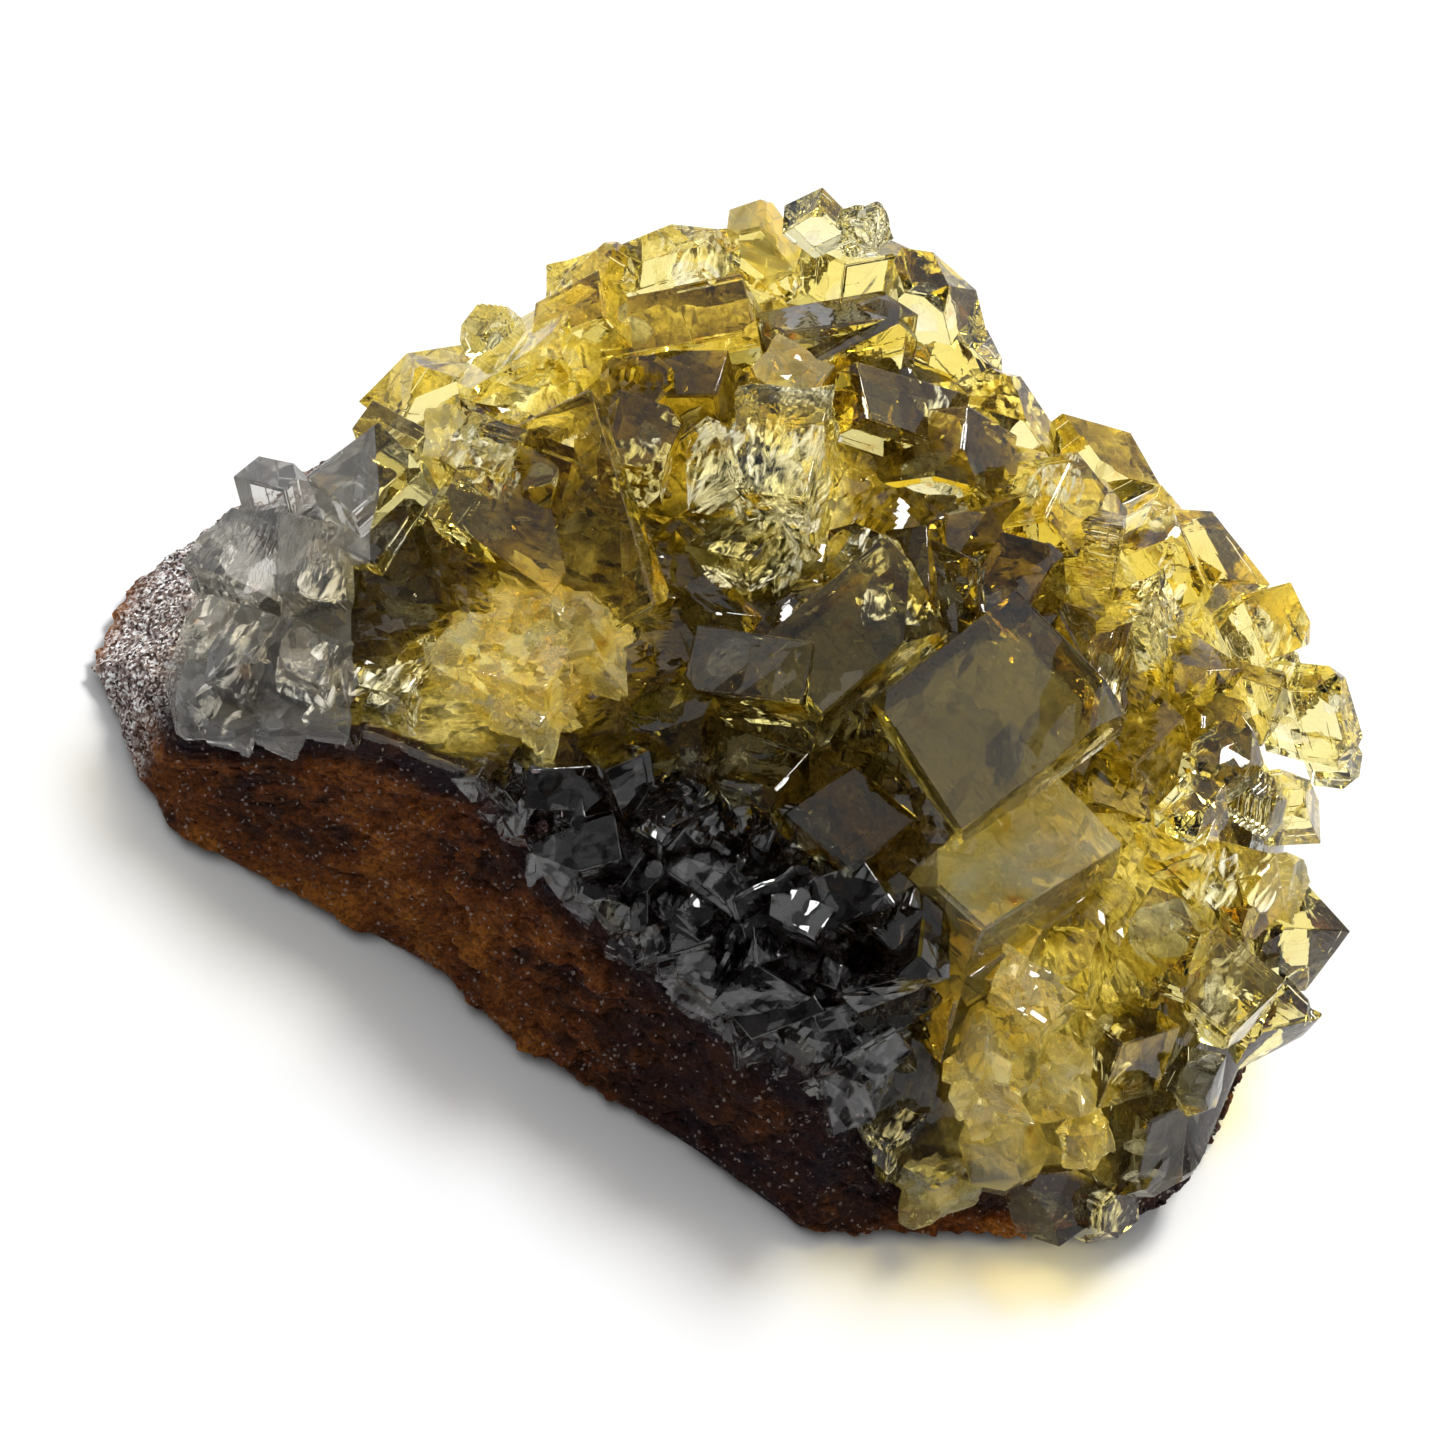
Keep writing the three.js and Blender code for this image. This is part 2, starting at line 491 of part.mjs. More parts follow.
// Even steps around the plan, and the corners of the foot between them
function ringDirections(count) {
  const closest = Math.PI / count;
  const corners = FOOT.map(([x, y]) => turnOf(x, y));
  const between = Array.from({ length: Math.round(count) }, (_, i) => (2 * Math.PI * i) / count)
    .filter((turn) => corners.every((corner) => Math.abs(corner - turn) > closest));
  return [...corners, ...between].sort((a, b) => a - b);
}

function pointsTowards(path, directions) {
  const divisions = 1200;
  const fine = path.getSpacedPoints(divisions);
  return directions.map((wanted) => {
    const away = (point) => {
      const difference = turnOf(point.x, point.y) - wanted;
      return Math.abs(Math.atan2(Math.sin(difference), Math.cos(difference)));
    };
    return fine.reduce((best, point) => (away(point) < away(best) ? point : best)).clone();
  });
}

// Closed body through rings of points, with a flat fan at both ends
function loft(rings) {
  const count = rings[0].length;
  const positions = rings.flat().flatMap((point) => point.toArray());
  const index = [];
  for (let ring = 0; ring + 1 < rings.length; ring += 1) {
    for (let i = 0; i < count; i += 1) {
      const next = (i + 1) % count;
      const [a, b] = [ring * count + i, ring * count + next];
      index.push(a, b, b + count, a, b + count, a + count);
    }
  }
  [0, rings.length - 1].forEach((ring) => {
    const middle = positions.length / 3;
    positions.push(0, 0, rings[ring][0].z);
    for (let i = 0; i < count; i += 1) {
      const [a, b] = [ring * count + i, ring * count + ((i + 1) % count)];
      index.push(...(ring === 0 ? [middle, b, a] : [middle, a, b]));
    }
  });
  const geometry = new THREE.BufferGeometry();
  geometry.setAttribute("position", new THREE.Float32BufferAttribute(positions, 3));
  geometry.setIndex(index);
  return geometry;
}

// Dark band on the front slope: how much of it lies over the rock at a place
function bandDepth(x, y) {
  const edge = nearestEdge(x, y);
  const width = lerp(...BAND.width, shareOf(BAND.widens, x));
  const across = shareOf(BAND.outer, edge.distance) * shareOf(BAND.inner, edge.distance - width);
  const along = shareOf(BAND.left, x) * shareOf(BAND.right, x);
  const front = y < 0 ? 1 : 0;
  return across * along * front;
}

// Small facets and lumps on a surface that grew against other crystals
function lumps(x, y, height) {
  const [alongX, bendY, alongY, slantX] = LUMPS.wave;
  const wave = Math.sin(x * alongX + LUMPS.bend * Math.sin(y * bendY)) * Math.cos(y * alongY + x * slantX);
  const grain = Math.sin(x * LUMPS.grain[0] + y * LUMPS.grain[1]) * LUMPS.grain[2];
  return height * (LUMPS.waveShare * wave + LUMPS.grainShare * (grain - Math.floor(grain) - 0.5));
}

// Top of the dark band, just under the rock's surface where there is no band
function bandTop(x, y) {
  const depth = bandDepth(x, y);
  const rock = rockLevel(x, y);
  const top = crustLevel(x, y) - BAND.belowLevel + lumps(x, y, BAND.lumps);
  return depth > 0 ? lerp(rock, top, depth) : rock - BAND.underRock;
}

// Lines of the grid on which the rock, the band and the crust meet, closer together at the band
const GRID_X = [-40, ...gridLines(-36, -18, 6), ...gridLines(-16, 18, 2.7), ...gridLines(21, 36, 5), 40];
const GRID_Y = [-32, ...gridLines(-28, -9, 2.2), ...gridLines(-5, 27, 6.6), 32];
const ROOF_HEIGHT = 45;
const ROOF = () => ROOF_HEIGHT;
const CELLAR = () => -5;

function hostRock() {
  return largestBody(rockBlock().intersect(blockBetween(GRID_X, GRID_Y, CELLAR, rockLevel)));
}

function darkBand() {
  const floor = (x, y) => rockLevel(x, y) + GAP_ON_SLOPES;
  const below = blockBetween(GRID_X, GRID_Y, CELLAR, bandTop);
  return largestBody(below.intersect(blockBetween(GRID_X, GRID_Y, floor, ROOF)));
}

// The grown-together mass that all the crystals stand on
function rootMass() {
  const outline = new THREE.Shape(UPPER_EDGE.map(([x, y]) => new THREE.Vector2(x, y)));
  const column = toSolid(new THREE.ExtrudeGeometry(outline, { depth: ROOF_HEIGHT, bevelEnabled: false }));
  const top = (x, y) => Math.max(
    crustLevel(x, y, ROOT.inset) - ROOT.belowLevel + lumps(x, y, ROOT.lumps),
    rockLevel(x, y) + GAP_ON_SLOPES + ROOT.thinnest,
  );
  const [xs, ys] = [gridLines(-40, 40, ROOT.spacing), gridLines(-32, 32, ROOT.spacing)];
  return column.intersect(blockBetween(xs, ys, CELLAR, top));
}

function crystalCrust() {
  const named = namedCrystals();
  const crystals = [...named, ...fillerCrystals(named)].map(crystalSolid);
  const floor = (x, y) => Math.max(rockLevel(x, y), bandTop(x, y)) + GAP_ON_SLOPES;
  const grown = joinAll([rootMass(), ...crystals]);
  return largestBody(grown.intersect(blockBetween(GRID_X, GRID_Y, floor, ROOF)));
}

// Everything on one side of the face between the two kinds of crystal
function sideOfJoint(direction) {
  const width = 120;
  const length = Math.hypot(1, COLOURLESS_EDGE.slope);
  const box = new THREE.BoxGeometry(width, width, width);
  box.translate(COLOURLESS_EDGE.offset / length + direction * (width / 2 + NEIGHBOUR_GAP / 2), 0, 0);
  box.rotateZ(Math.atan(COLOURLESS_EDGE.slope));
  return toSolid(box);
}

const crust = crystalCrust();
const SOLIDS = {
  host_rock: hostRock(),
  dark_band: darkBand(),
  yellow_crystals: largestBody(crust.intersect(sideOfJoint(1))),
  colourless_crystals: largestBody(crust.intersect(sideOfJoint(-1))),
};
const FINISHES = {
  host_rock: { color: 0x5a3620, roughness: 0.9, metalness: 0 },
  dark_band: { color: 0x2a2028, roughness: 0.25, metalness: 0 },
  yellow_crystals: { color: 0xc9a53a, roughness: 0.08, metalness: 0 },
  colourless_crystals: { color: 0xd9d6cc, roughness: 0.08, metalness: 0 },
};

const cluster = new THREE.Group();
for (const [name, solid] of Object.entries(SOLIDS)) {
  const mesh = new THREE.Mesh(toGeometry(solid), new THREE.MeshStandardMaterial(FINISHES[name]));
  mesh.name = name;
  mesh.position.set(-PLAN_CENTRE[0], -PLAN_CENTRE[1], 0);
  cluster.add(mesh);
}

export default cluster;
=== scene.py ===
# Looks of the fluorite crystal cluster: clear yellow and colourless cubes on a brown, rust-stained rock.
# Shapes are worked out in millimetres in the plan's own coordinates and put into meshes in metres.
from itertools import islice

import bpy
import numpy as np
from mathutils import Matrix, Vector


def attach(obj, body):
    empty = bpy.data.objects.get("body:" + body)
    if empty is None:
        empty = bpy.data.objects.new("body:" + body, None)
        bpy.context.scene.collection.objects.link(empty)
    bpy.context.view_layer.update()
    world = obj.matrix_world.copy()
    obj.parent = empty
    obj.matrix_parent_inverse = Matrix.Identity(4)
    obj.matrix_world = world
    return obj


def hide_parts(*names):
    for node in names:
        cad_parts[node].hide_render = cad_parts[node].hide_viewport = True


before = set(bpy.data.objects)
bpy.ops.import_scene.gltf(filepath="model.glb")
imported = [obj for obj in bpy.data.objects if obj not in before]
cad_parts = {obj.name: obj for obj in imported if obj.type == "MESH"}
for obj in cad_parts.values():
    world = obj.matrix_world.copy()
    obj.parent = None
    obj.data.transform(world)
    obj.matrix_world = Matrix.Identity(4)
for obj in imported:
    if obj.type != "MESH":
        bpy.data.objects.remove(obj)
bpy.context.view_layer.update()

# Plan and general surface of the specimen, in millimetres
MM = 0.001
PLAN_CENTRE = np.array([0.739, 1.842, 0.0])
CROWN_LEFT_HEIGHT = 12.5
CROWN_BEND = 0.7
RISE_KEPT_AT_RIGHT = 0.45
CROWN_RISE = 10.5
CRUST_DEPTH = 6.0
CRUST_DEPTH_RUN = 3.0
FRONT_SHOULDER = 5.5
BACK_SHOULDER = 3.0
FALL_OUTSIDE = 2.5
ROCK_FALL_OUTSIDE = 1.2
CROWN_LEFT = (-35, -20)
CROWN_RIGHT = (36, 12)
CROWN_BACK = (-14, -2)
BAND_WIDTH = (2.4, 9.0)
BAND_WIDENS = (-10, -3)
BAND_LEFT = (-15, -12)
BAND_RIGHT = (17.5, 14.5)
BAND_OUTER = (-0.6, 0.6)
BAND_INNER = (0, -1.6)

# Upper edge of the rock: x, y, height of the rock there, height of the crystal crust there
UPPER_EDGE = np.array([
    (-32.6, -10, 6, 7), (-32, -3, 6.2, 7.5), (-28.5, 5, 6.4, 9), (-23.5, 17, 6.5, 10), (-17, 24, 7, 11),
    (-8, 26.5, 7.5, 12), (3, 25.5, 7.5, 12), (14, 22.5, 7, 11), (25, 19.5, 6, 10), (32, 13, 5, 8.5),
    (35.1, -2, 4.2, 6.8), (35.2, -12.5, 4, 6.4), (32.4, -17.2, 4, 7), (26.5, -19.5, 3.6, 7.5),
    (19, -22.3, 4.2, 8.5), (14.7, -23.2, 9.8, 11), (4.7, -22, 9.5, 11.5), (-0.6, -21.5, 10.8, 12.2),
    (-6, -20.5, 11.9, 13), (-12, -18.5, 14.3, 15), (-19.2, -18.5, 13, 14), (-23.5, -19, 10, 11),
    (-28.9, -19.5, 5.7, 7), (-31.4, -16, 5.6, 6.6),
])
# Foot of the rock, counterclockwise from the left tip
FOOT = np.array([
    (-36.2, -14.2), (-36.2, -5), (-31.5, 6), (-26, 17), (-18, 23.5), (-8, 26), (3, 25.5), (15, 23),
    (26, 19.5), (33, 12), (36.2, -1), (36.2, -8.5), (31.8, -17), (26.5, -20), (19.9, -24.4),
    (16.2, -26.2), (9.1, -25), (-5.9, -23.3), (-9.9, -21.9), (-27.7, -21.7),
])

# Direction of the main view: elevation and roll in degrees, distance and target in millimetres
ELEVATION = np.radians(52)
ROLL = np.radians(27.4)
VIEW_DISTANCE = 330.0
VIEW_TARGET = np.array([-1.5, -4.7, 12.0])
PIXELS_PER_MM = 17.2
FRAME_PIXELS = 1445
SENSOR_MM = 36.0

# Crystals: name, pixel of the near corner, height over the crust (mm),
# directions of the three edges in the main view (degrees), lengths of those edges (mm)
CRYSTALS = [
    ("shoulder", (548, 343), 2.0, (63, 208, 312), (7, 8.5, 4.5)),
    ("shoulder_back", (505, 340), 0.5, (62, 170, 285), (2.8, 3, 3)),
    ("gold_block", (606, 318), 2.5, (95, 200, 318), (3.5, 5, 7)),
    ("peak_tip", (618, 268), 2.0, (105, 215, 330), (2.4, 3.5, 5)),
    ("olive_block", (757, 330), 2.5, (100, 192, 290), (4, 10, 5)),
    ("grey_roof", (785, 332), 2.5, (10, 150, 262), (11, 4, 6)),
    ("dark_roof", (797, 372), 2.0, (27, 145, 262), (10.5, 3, 5)),
    ("top_pane", (700, 270), 3.0, (88, 196, 330), (3.6, 6.5, 4)),
    ("top_knob", (762, 228), 2.5, (80, 195, 310), (2.6, 2.6, 4)),
    ("top_yellow", (818, 212), 3.0, (80, 205, 320), (2.2, 3, 3)),
    ("top_grey", (868, 232), 2.5, (70, 170, 300), (2.4, 2.6, 4)),
    ("top_slab", (845, 265), 2.0, (15, 150, 262), (6, 4.5, 5)),
    ("right_shoulder", (940, 300), 2.5, (52, 165, 288), (3.5, 4.5, 6)),
    ("right_edge_a", (1010, 400), 2.0, (82, 198, 308), (3, 5.5, 6.5)),
    ("oval_olive", (870, 420), 3.0, (100, 210, 345), (4, 3, 10.5)),
    ("oval_low", (960, 470), 2.0, (80, 185, 325), (4.5, 7, 5)),
    ("olive_low", (715, 395), 1.5, (75, 178, 285), (3.5, 8, 5)),
    ("slate_pane", (662, 470), 2.0, (72, 166, 265), (4.5, 3.5, 5)),
    ("tall_gold", (655, 606), 3.0, (109, 206, 345), (14, 8, 2.6)),
    ("gold_inner", (612, 560), 1.2, (70, 190, 300), (5, 6, 5)),
    ("yellow_wedge", (735, 478), 2.5, (115, 215, 335), (4.5, 6, 4)),
    ("silver_block", (805, 498), 3.5, (72, 172, 285), (7.5, 5.5, 8)),
    ("silver_top", (800, 410), 2.0, (60, 155, 285), (4, 4, 5)),
    ("yellow_tall", (885, 590), 3.0, (80, 195, 300), (7, 4, 4)),
    ("mid_wedge", (745, 560), 1.5, (35, 160, 280), (6, 5, 5)),
    ("slate_triangle", (802, 702), 3.0, (80, 174, 290), (4, 7, 4)),
    ("olive_rhomb", (822, 716), 2.5, (40, 135, 265), (10.5, 6, 6)),
    ("big_grey", (962, 834), 3.5, (36, 127, 262), (11.5, 9.5, 7)),
    ("long_gold", (985, 930), 3.0, (32, 140, 258), (12, 6, 6)),
    ("long_grey", (960, 985), 2.5, (33, 145, 262), (13.5, 4.5, 6)),
    ("gold_fin", (1012, 990), 2.5, (62, 160, 275), (4.5, 4, 4)),
    ("bright_yellow", (1045, 520), 2.5, (65, 188, 315), (5, 4.5, 3.5)),
    ("yellow_ramp", (1085, 500), 1.5, (78, 190, 300), (4, 5, 5)),
    ("dark_cube", (1012, 632), 2.0, (58, 152, 290), (5.5, 3.5, 5)),
    ("dark_shards", (985, 655), 1.0, (95, 190, 340), (6.5, 3, 2.5)),
    ("brown_column", (930, 600), 1.5, (88, 190, 310), (5, 3, 3)),
    ("right_tall", (1124, 528), 3.0, (60, 168, 261), (2.4, 4.2, 8)),
    ("gold_right", (1180, 535), 2.5, (98, 205, 300), (3, 3.5, 5.5)),
    ("ribbed_yellow", (1145, 635), 2.0, (70, 190, 305), (5.5, 3.5, 4)),
    ("pale_right", (1270, 662), 2.5, (20, 112, 212), (3.6, 4.2, 7)),
    ("pale_right_low", (1325, 700), 1.5, (50, 165, 285), (2.6, 5, 6)),
    ("clear_fin", (1115, 705), 2.0, (75, 175, 290), (5, 2.5, 4)),
    ("corner_right", (1332, 692), 1.5, (60, 175, 290), (2, 3, 5.5)),
    ("sliver_right", (1338, 748), 1.4, (75, 180, 300), (2.4, 2.6, 4.5)),
    ("dark_right_a", (1218, 782), 2.5, (30, 130, 255), (4, 3, 4)),
    ("dark_right_b", (1272, 806), 2.0, (40, 148, 262), (2, 4, 3)),
    ("dark_right_c", (1190, 826), 1.5, (45, 155, 280), (3.5, 2.5, 3)),
    ("olive_right", (1262, 735), 1.5, (70, 165, 290), (4, 4.5, 4)),
    ("rim_right", (1306, 812), 1.8, (85, 185, 300), (3.2, 3.5, 4)),
    ("yellow_low_right", (1236, 900), 2.0, (45, 160, 285), (4, 5, 4)),
    ("yellow_mid_right", (1195, 870), 1.5, (60, 168, 280), (4, 4, 4)),
    ("frost_right", (1285, 900), 1.5, (70, 180, 300), (3.5, 2.5, 3)),
    ("grey_green", (1228, 1035), 3.5, (42, 138, 265), (4.5, 5, 5)),
    ("edge_cube", (1122, 1046), 3.8, (16, 140, 258), (4.5, 6.2, 5)),
    ("dark_low", (1150, 1122), 3, (25, 150, 265), (3.6, 3, 5)),
    ("dark_low_right", (1203, 1098), 2.6, (60, 165, 280), (3.2, 3, 3)),
    ("yellow_lump", (985, 1080), 4.5, (88, 200, 320), (5.2, 3.6, 4.2)),
    ("pale_lump", (1045, 1030), 3.5, (55, 150, 275), (3, 4.5, 5)),
    ("amber_lump", (1080, 1100), 3.5, (60, 160, 275), (3.5, 3.5, 4)),
    ("bottom_pale", (935, 1185), 3.2, (35, 155, 270), (4.4, 4.2, 4)),
    ("bottom_olive", (1045, 1185), 3.2, (25, 165, 280), (4, 4.4, 4)),
    ("white_pebble", (1095, 1145), 3.8, (45, 160, 275), (2.2, 2.2, 2.2)),
    ("glass_dark", (880, 1045), 3, (36, 130, 262), (4.5, 4, 4)),
    ("edge_dark", (1150, 1172), 2.6, (30, 150, 262), (3.6, 3.4, 2.6)),
    ("lumpy_yellow", (545, 690), 3.5, (62, 165, 285), (7.5, 6, 4)),
    ("lumpy_right", (590, 650), 3.0, (80, 190, 310), (4, 4, 4)),
    ("lumpy_low", (540, 730), 2.0, (50, 150, 272), (4, 4, 3)),
    ("lumpy_left", (470, 680), 2.0, (70, 175, 290), (5, 3, 3)),
    ("grey_gold", (438, 512), 2.5, (58, 215, 323), (4.5, 2.5, 8)),
    ("brown_block", (425, 590), 1.5, (100, 205, 325), (5, 4, 4)),
    ("dark_glass", (352, 515), 2.5, (42, 140, 290), (4.8, 3.8, 4)),
    ("clear_step", (500, 478), 2.0, (70, 165, 280), (3.5, 3.5, 4)),
    ("olive_pane", (545, 500), 1.5, (62, 165, 285), (5, 3.5, 5)),
    ("white_fracture", (450, 460), 2.5, (85, 190, 300), (4.5, 2, 2.5)),
    ("grey_pale", (405, 458), 1.8, (50, 152, 285), (2.4, 4, 4)),
    ("brown_pane", (375, 565), 2.5, (58, 152, 290), (4.5, 3, 4)),
    ("flag_left", (285, 490), 2.2, (48, 165, 280), (2.5, 3.8, 4)),
    ("striated", (265, 595), 2.6, (72, 165, 290), (5, 4.6, 7)),
    ("striated_right", (335, 590), 2.6, (95, 190, 320), (5, 3.5, 6)),
    ("clear_left_a", (240, 680), 3.0, (62, 160, 290), (4.5, 2.8, 4)),
    ("clear_left_b", (320, 685), 3.0, (62, 165, 285), (3.8, 3.6, 4)),
    ("clear_left_c", (245, 735), 2.4, (60, 165, 280), (2.8, 3, 3.5)),
    ("milky_left", (405, 695), 2.6, (65, 170, 285), (4, 4.6, 4)),
    ("bottom_mid", (1010, 1150), 3.4, (60, 172, 288), (3.6, 3.6, 4)),
    ("bottom_clear", (890, 1150), 2.8, (42, 150, 272), (3.6, 3.4, 4)),
    ("bottom_rim", (1105, 1205), 2.4, (32, 160, 275), (3.2, 3.6, 3)),
    ("seam_low", (1085, 985), 2.6, (70, 170, 285), (3.5, 3, 4)),
    ("seam_right", (1180, 960), 2.4, (55, 160, 280), (4, 4, 4)),
    ("dark_under_a", (765, 800), 2.4, (52, 160, 276), (4.6, 5, 4)),
    ("dark_under_b", (850, 872), 2.6, (38, 138, 262), (5, 5, 4)),
    ("dark_under_c", (690, 742), 2.8, (62, 170, 285), (4.2, 4.4, 4)),
    ("dark_under_d", (905, 962), 2.6, (36, 134, 262), (4, 4.5, 4)),
    ("clear_left_d", (207, 705), 2.6, (68, 172, 290), (3, 2.4, 3.5)),
    ("clear_left_e", (292, 742), 2.8, (56, 160, 276), (2.8, 2.8, 3.5)),
    ("clear_left_f", (212, 640), 2.8, (66, 168, 285), (3.2, 2.2, 3.5)),
    ("clear_left_g", (350, 728), 2.6, (62, 170, 290), (2.8, 3, 3.5)),
]
# Crystals whose faces are broken rather than grown: rounded lumps, and hackly cleavage blocks
LUMPY = (
    "lumpy_yellow", "lumpy_right", "lumpy_low", "lumpy_left", "yellow_lump", "amber_lump", "milky_left",
    "white_pebble", "bottom_pale", "bottom_clear", "pale_lump",
)
HACKLY = (
    "silver_block", "silver_top", "white_fracture", "striated", "striated_right", "frost_right",
    "clear_step", "clear_left_a", "clear_left_b", "ribbed_yellow", "top_grey", "clear_fin", "dark_shards",
)
# Yellow crystals that are cloudy inside
CLOUDY = (
    "lumpy_yellow", "lumpy_right", "lumpy_low", "lumpy_left", "yellow_lump", "amber_lump", "pale_lump",
    "white_pebble", "bottom_pale", "bottom_mid", "silver_top", "white_fracture", "frost_right",
    "top_knob", "long_gold",
)
# Crystals with ridges across one of their edges, and which edge
STRIATED = {
    "striated": 1, "striated_right": 1, "ribbed_yellow": 0, "clear_fin": 1, "right_tall": 2,
    "top_grey": 0, "dark_right_b": 1, "frost_right": 0, "shoulder_back": 1,
}
# Clear crystals with white fractures inside, and how many each has
FRACTURES = {
    "silver_block": 12, "yellow_wedge": 5, "striated": 2, "striated_right": 1, "top_grey": 4,
    "mid_wedge": 5, "clear_left_a": 5, "clear_left_b": 4, "clear_left_c": 4, "clear_left_d": 4,
    "clear_left_f": 4, "pale_right": 3, "pale_right_low": 3, "top_pane": 3, "shoulder": 3,
    "grey_green": 3, "clear_step": 4, "bottom_clear": 4, "rim_right": 3, "bright_yellow": 3,
    "gold_right": 2, "clear_fin": 4, "ribbed_yellow": 4, "right_edge_a": 4, "yellow_tall": 3,
    "edge_cube": 2, "milky_left": 5, "bottom_rim": 4, "oval_olive": 2, "slate_pane": 2,
    "yellow_low_right": 3,
}
# Small crystals between the named ones: the grid in millimetres and its jitter as a share of the spacing,
# where the crust is too thin for them, height over the crust, edges, shares of the edge, and directions of
# the second and third edge from the first, in degrees
FILLER_SPACING = 5.3
FILLER_ROWS = 12
FILLER_COLUMNS = 15
FILLER_START = (-35, -24)
FILLER_JITTER = 0.6
FILLER_FROM_EDGE = 0.8
FILLER_THIN_CRUST = 2.2
FILLER_THIN_WIDTH = 7
FILLER_PROUD = (-1.2, 0.5)
FILLER_EDGE = (3.2, 5.2)
FILLER_SHARES = (0.75, 1.35)
FILLER_BACK = (8, 16)
FILLER_LARGER_AT_BACK = 0.1
FILLER_SECOND_EDGE = (108, 122)
FILLER_THIRD_EDGE = (232, 246)
# Face where the colourless crystals of the left end meet the yellow ones: x + slope * y = offset, and the
# edge of the boxes that part them there, in millimetres
COLOURLESS_SLOPE = 0.545
COLOURLESS_OFFSET = -30.2
HALF_SPACE_EDGE = 100.0


def share_of(stretch, value):
    """How far values have gone from the first to the second end of a stretch, from 0 to 1."""
    return np.clip((value - stretch[0]) / (stretch[1] - stretch[0]), 0, 1)


def lerp(a, b, t):
    """Value at a share t of the way from a to b."""
    return a + (b - a) * t


def random_run(seed):
    """Endless run of numbers between 0 and 1: each state is the last one times 48271, modulo 2147483647."""
    state = seed
    while True:
        state = state * 48271 % 2147483647
        yield state / 2147483647


def nearest_edge(x, y):
    """Signed distance to the upper edge, positive inside, and the rock and crust heights at its near point.

    Each plan point is projected on all edge segments at once, and the smallest distance is kept."""
    x, y = np.broadcast_arrays(np.asarray(x, float), np.asarray(y, float))
    a = UPPER_EDGE
    b = np.roll(a, -1, axis=0)
    d = b - a
    px, py = x[..., None], y[..., None]
    t = np.clip(((px - a[:, 0]) * d[:, 0] + (py - a[:, 1]) * d[:, 1]) / (d[:, 0] ** 2 + d[:, 1] ** 2), 0, 1)
    distance = np.hypot(px - a[:, 0] - t * d[:, 0], py - a[:, 1] - t * d[:, 1])
    best = distance.argmin(-1)[..., None]
    crossing = (a[:, 1] > py) != (b[:, 1] > py)
    slope = np.where(d[:, 1] == 0, 1, d[:, 1])
    crossing &= px < d[:, 0] * (py - a[:, 1]) / slope + a[:, 0]
    inside = crossing.sum(-1) % 2 == 1
    nearest = np.take_along_axis(distance, best, -1)[..., 0]
    rock = np.take_along_axis(a[:, 2] + t * d[:, 2], best, -1)[..., 0]
    crust = np.take_along_axis(a[:, 3] + t * d[:, 3], best, -1)[..., 0]
    return np.where(inside, nearest, -nearest), rock, crust


def crust_level(x, y, inset=0.0):
    """General height of the crust: the edge's height, rising exponentially inwards to the crown."""
    distance, _, edge_height = nearest_edge(x, y)
    distance = distance - inset
    left = share_of(CROWN_LEFT, x)
    right = share_of(CROWN_RIGHT, x)
    crown = CROWN_LEFT_HEIGHT + CROWN_RISE * left ** CROWN_BEND * lerp(RISE_KEPT_AT_RIGHT, 1, right)
    run = lerp(FRONT_SHOULDER, BACK_SHOULDER, share_of(CROWN_BACK, y))
    rise = 1 - np.exp(-np.maximum(distance, 0) / run)
    return edge_height + (crown - edge_height) * rise + np.minimum(distance, 0) * FALL_OUTSIDE


def rock_level(x, y):
    """Height of the rock under the crust: the crust's height less a depth that grows away from the edge."""
    distance, rock, crust = nearest_edge(x, y)
    depth = lerp(crust - rock, CRUST_DEPTH, 1 - np.exp(-np.maximum(distance, 0) / CRUST_DEPTH_RUN))
    return np.where(distance < 0, rock + ROCK_FALL_OUTSIDE * distance, crust_level(x, y) - depth)


def band_depth(x, y):
    """Share of the dark band over the rock on the front slope, from 0 to 1: a product of four ramps."""
    distance, _, _ = nearest_edge(x, y)
    inner = lerp(*BAND_WIDTH, share_of(BAND_WIDENS, x))
    across = share_of(BAND_OUTER, distance) * share_of(BAND_INNER, distance - inner)
    along = share_of(BAND_LEFT, x) * share_of(BAND_RIGHT, x)
    return across * along * (y < 0)


# Random values of the noises: waves and spread of a cell's value, and shifts and factors for further values
CELL_WAVES = (12.9898, 78.233, 37.719)
CELL_SPREAD = 43758.5453
LAYER_SHIFT = 17.3
SEED_SHIFTS = (0.0, 31.7, 63.1)
NUMBER_SHIFT = 5.5
NUMBER_FACTORS = (91.7, 13.7, 57.3)


def lattice_value(cells):
    """One number from 0 to 1 for each whole-number cell: the fraction of a large sine of its coordinates."""
    wave_x, wave_y, wave_z = CELL_WAVES
    mixed = np.sin(cells[..., 0] * wave_x + cells[..., 1] * wave_y + cells[..., 2] * wave_z) * CELL_SPREAD
    return mixed - np.floor(mixed)


def smooth_noise(points, size):
    """Noise from 0 to 1: cell corner values blended with smoothed shares of the place inside the cell."""
    scaled = points / size
    cell = np.floor(scaled)
    t = scaled - cell
    t = t * t * (3 - 2 * t)
    total = 0
    for k in range(8):
        step = np.array([k & 1, (k >> 1) & 1, k >> 2])
        weight = np.prod(np.where(step == 1, t, 1 - t), axis=-1)
        total = total + weight * lattice_value(cell + step)
    return total


def layered_noise(points, size, layers=4):
    """Sum of smooth noise at halving sizes and weights, centred on 0."""
    total = np.zeros(points.shape[:-1])
    weight = 0.5
    for layer in range(layers):
        total += weight * (smooth_noise(points + LAYER_SHIFT * layer, size / 2 ** layer) - 0.5) * 2
        weight *= 0.5
    return total


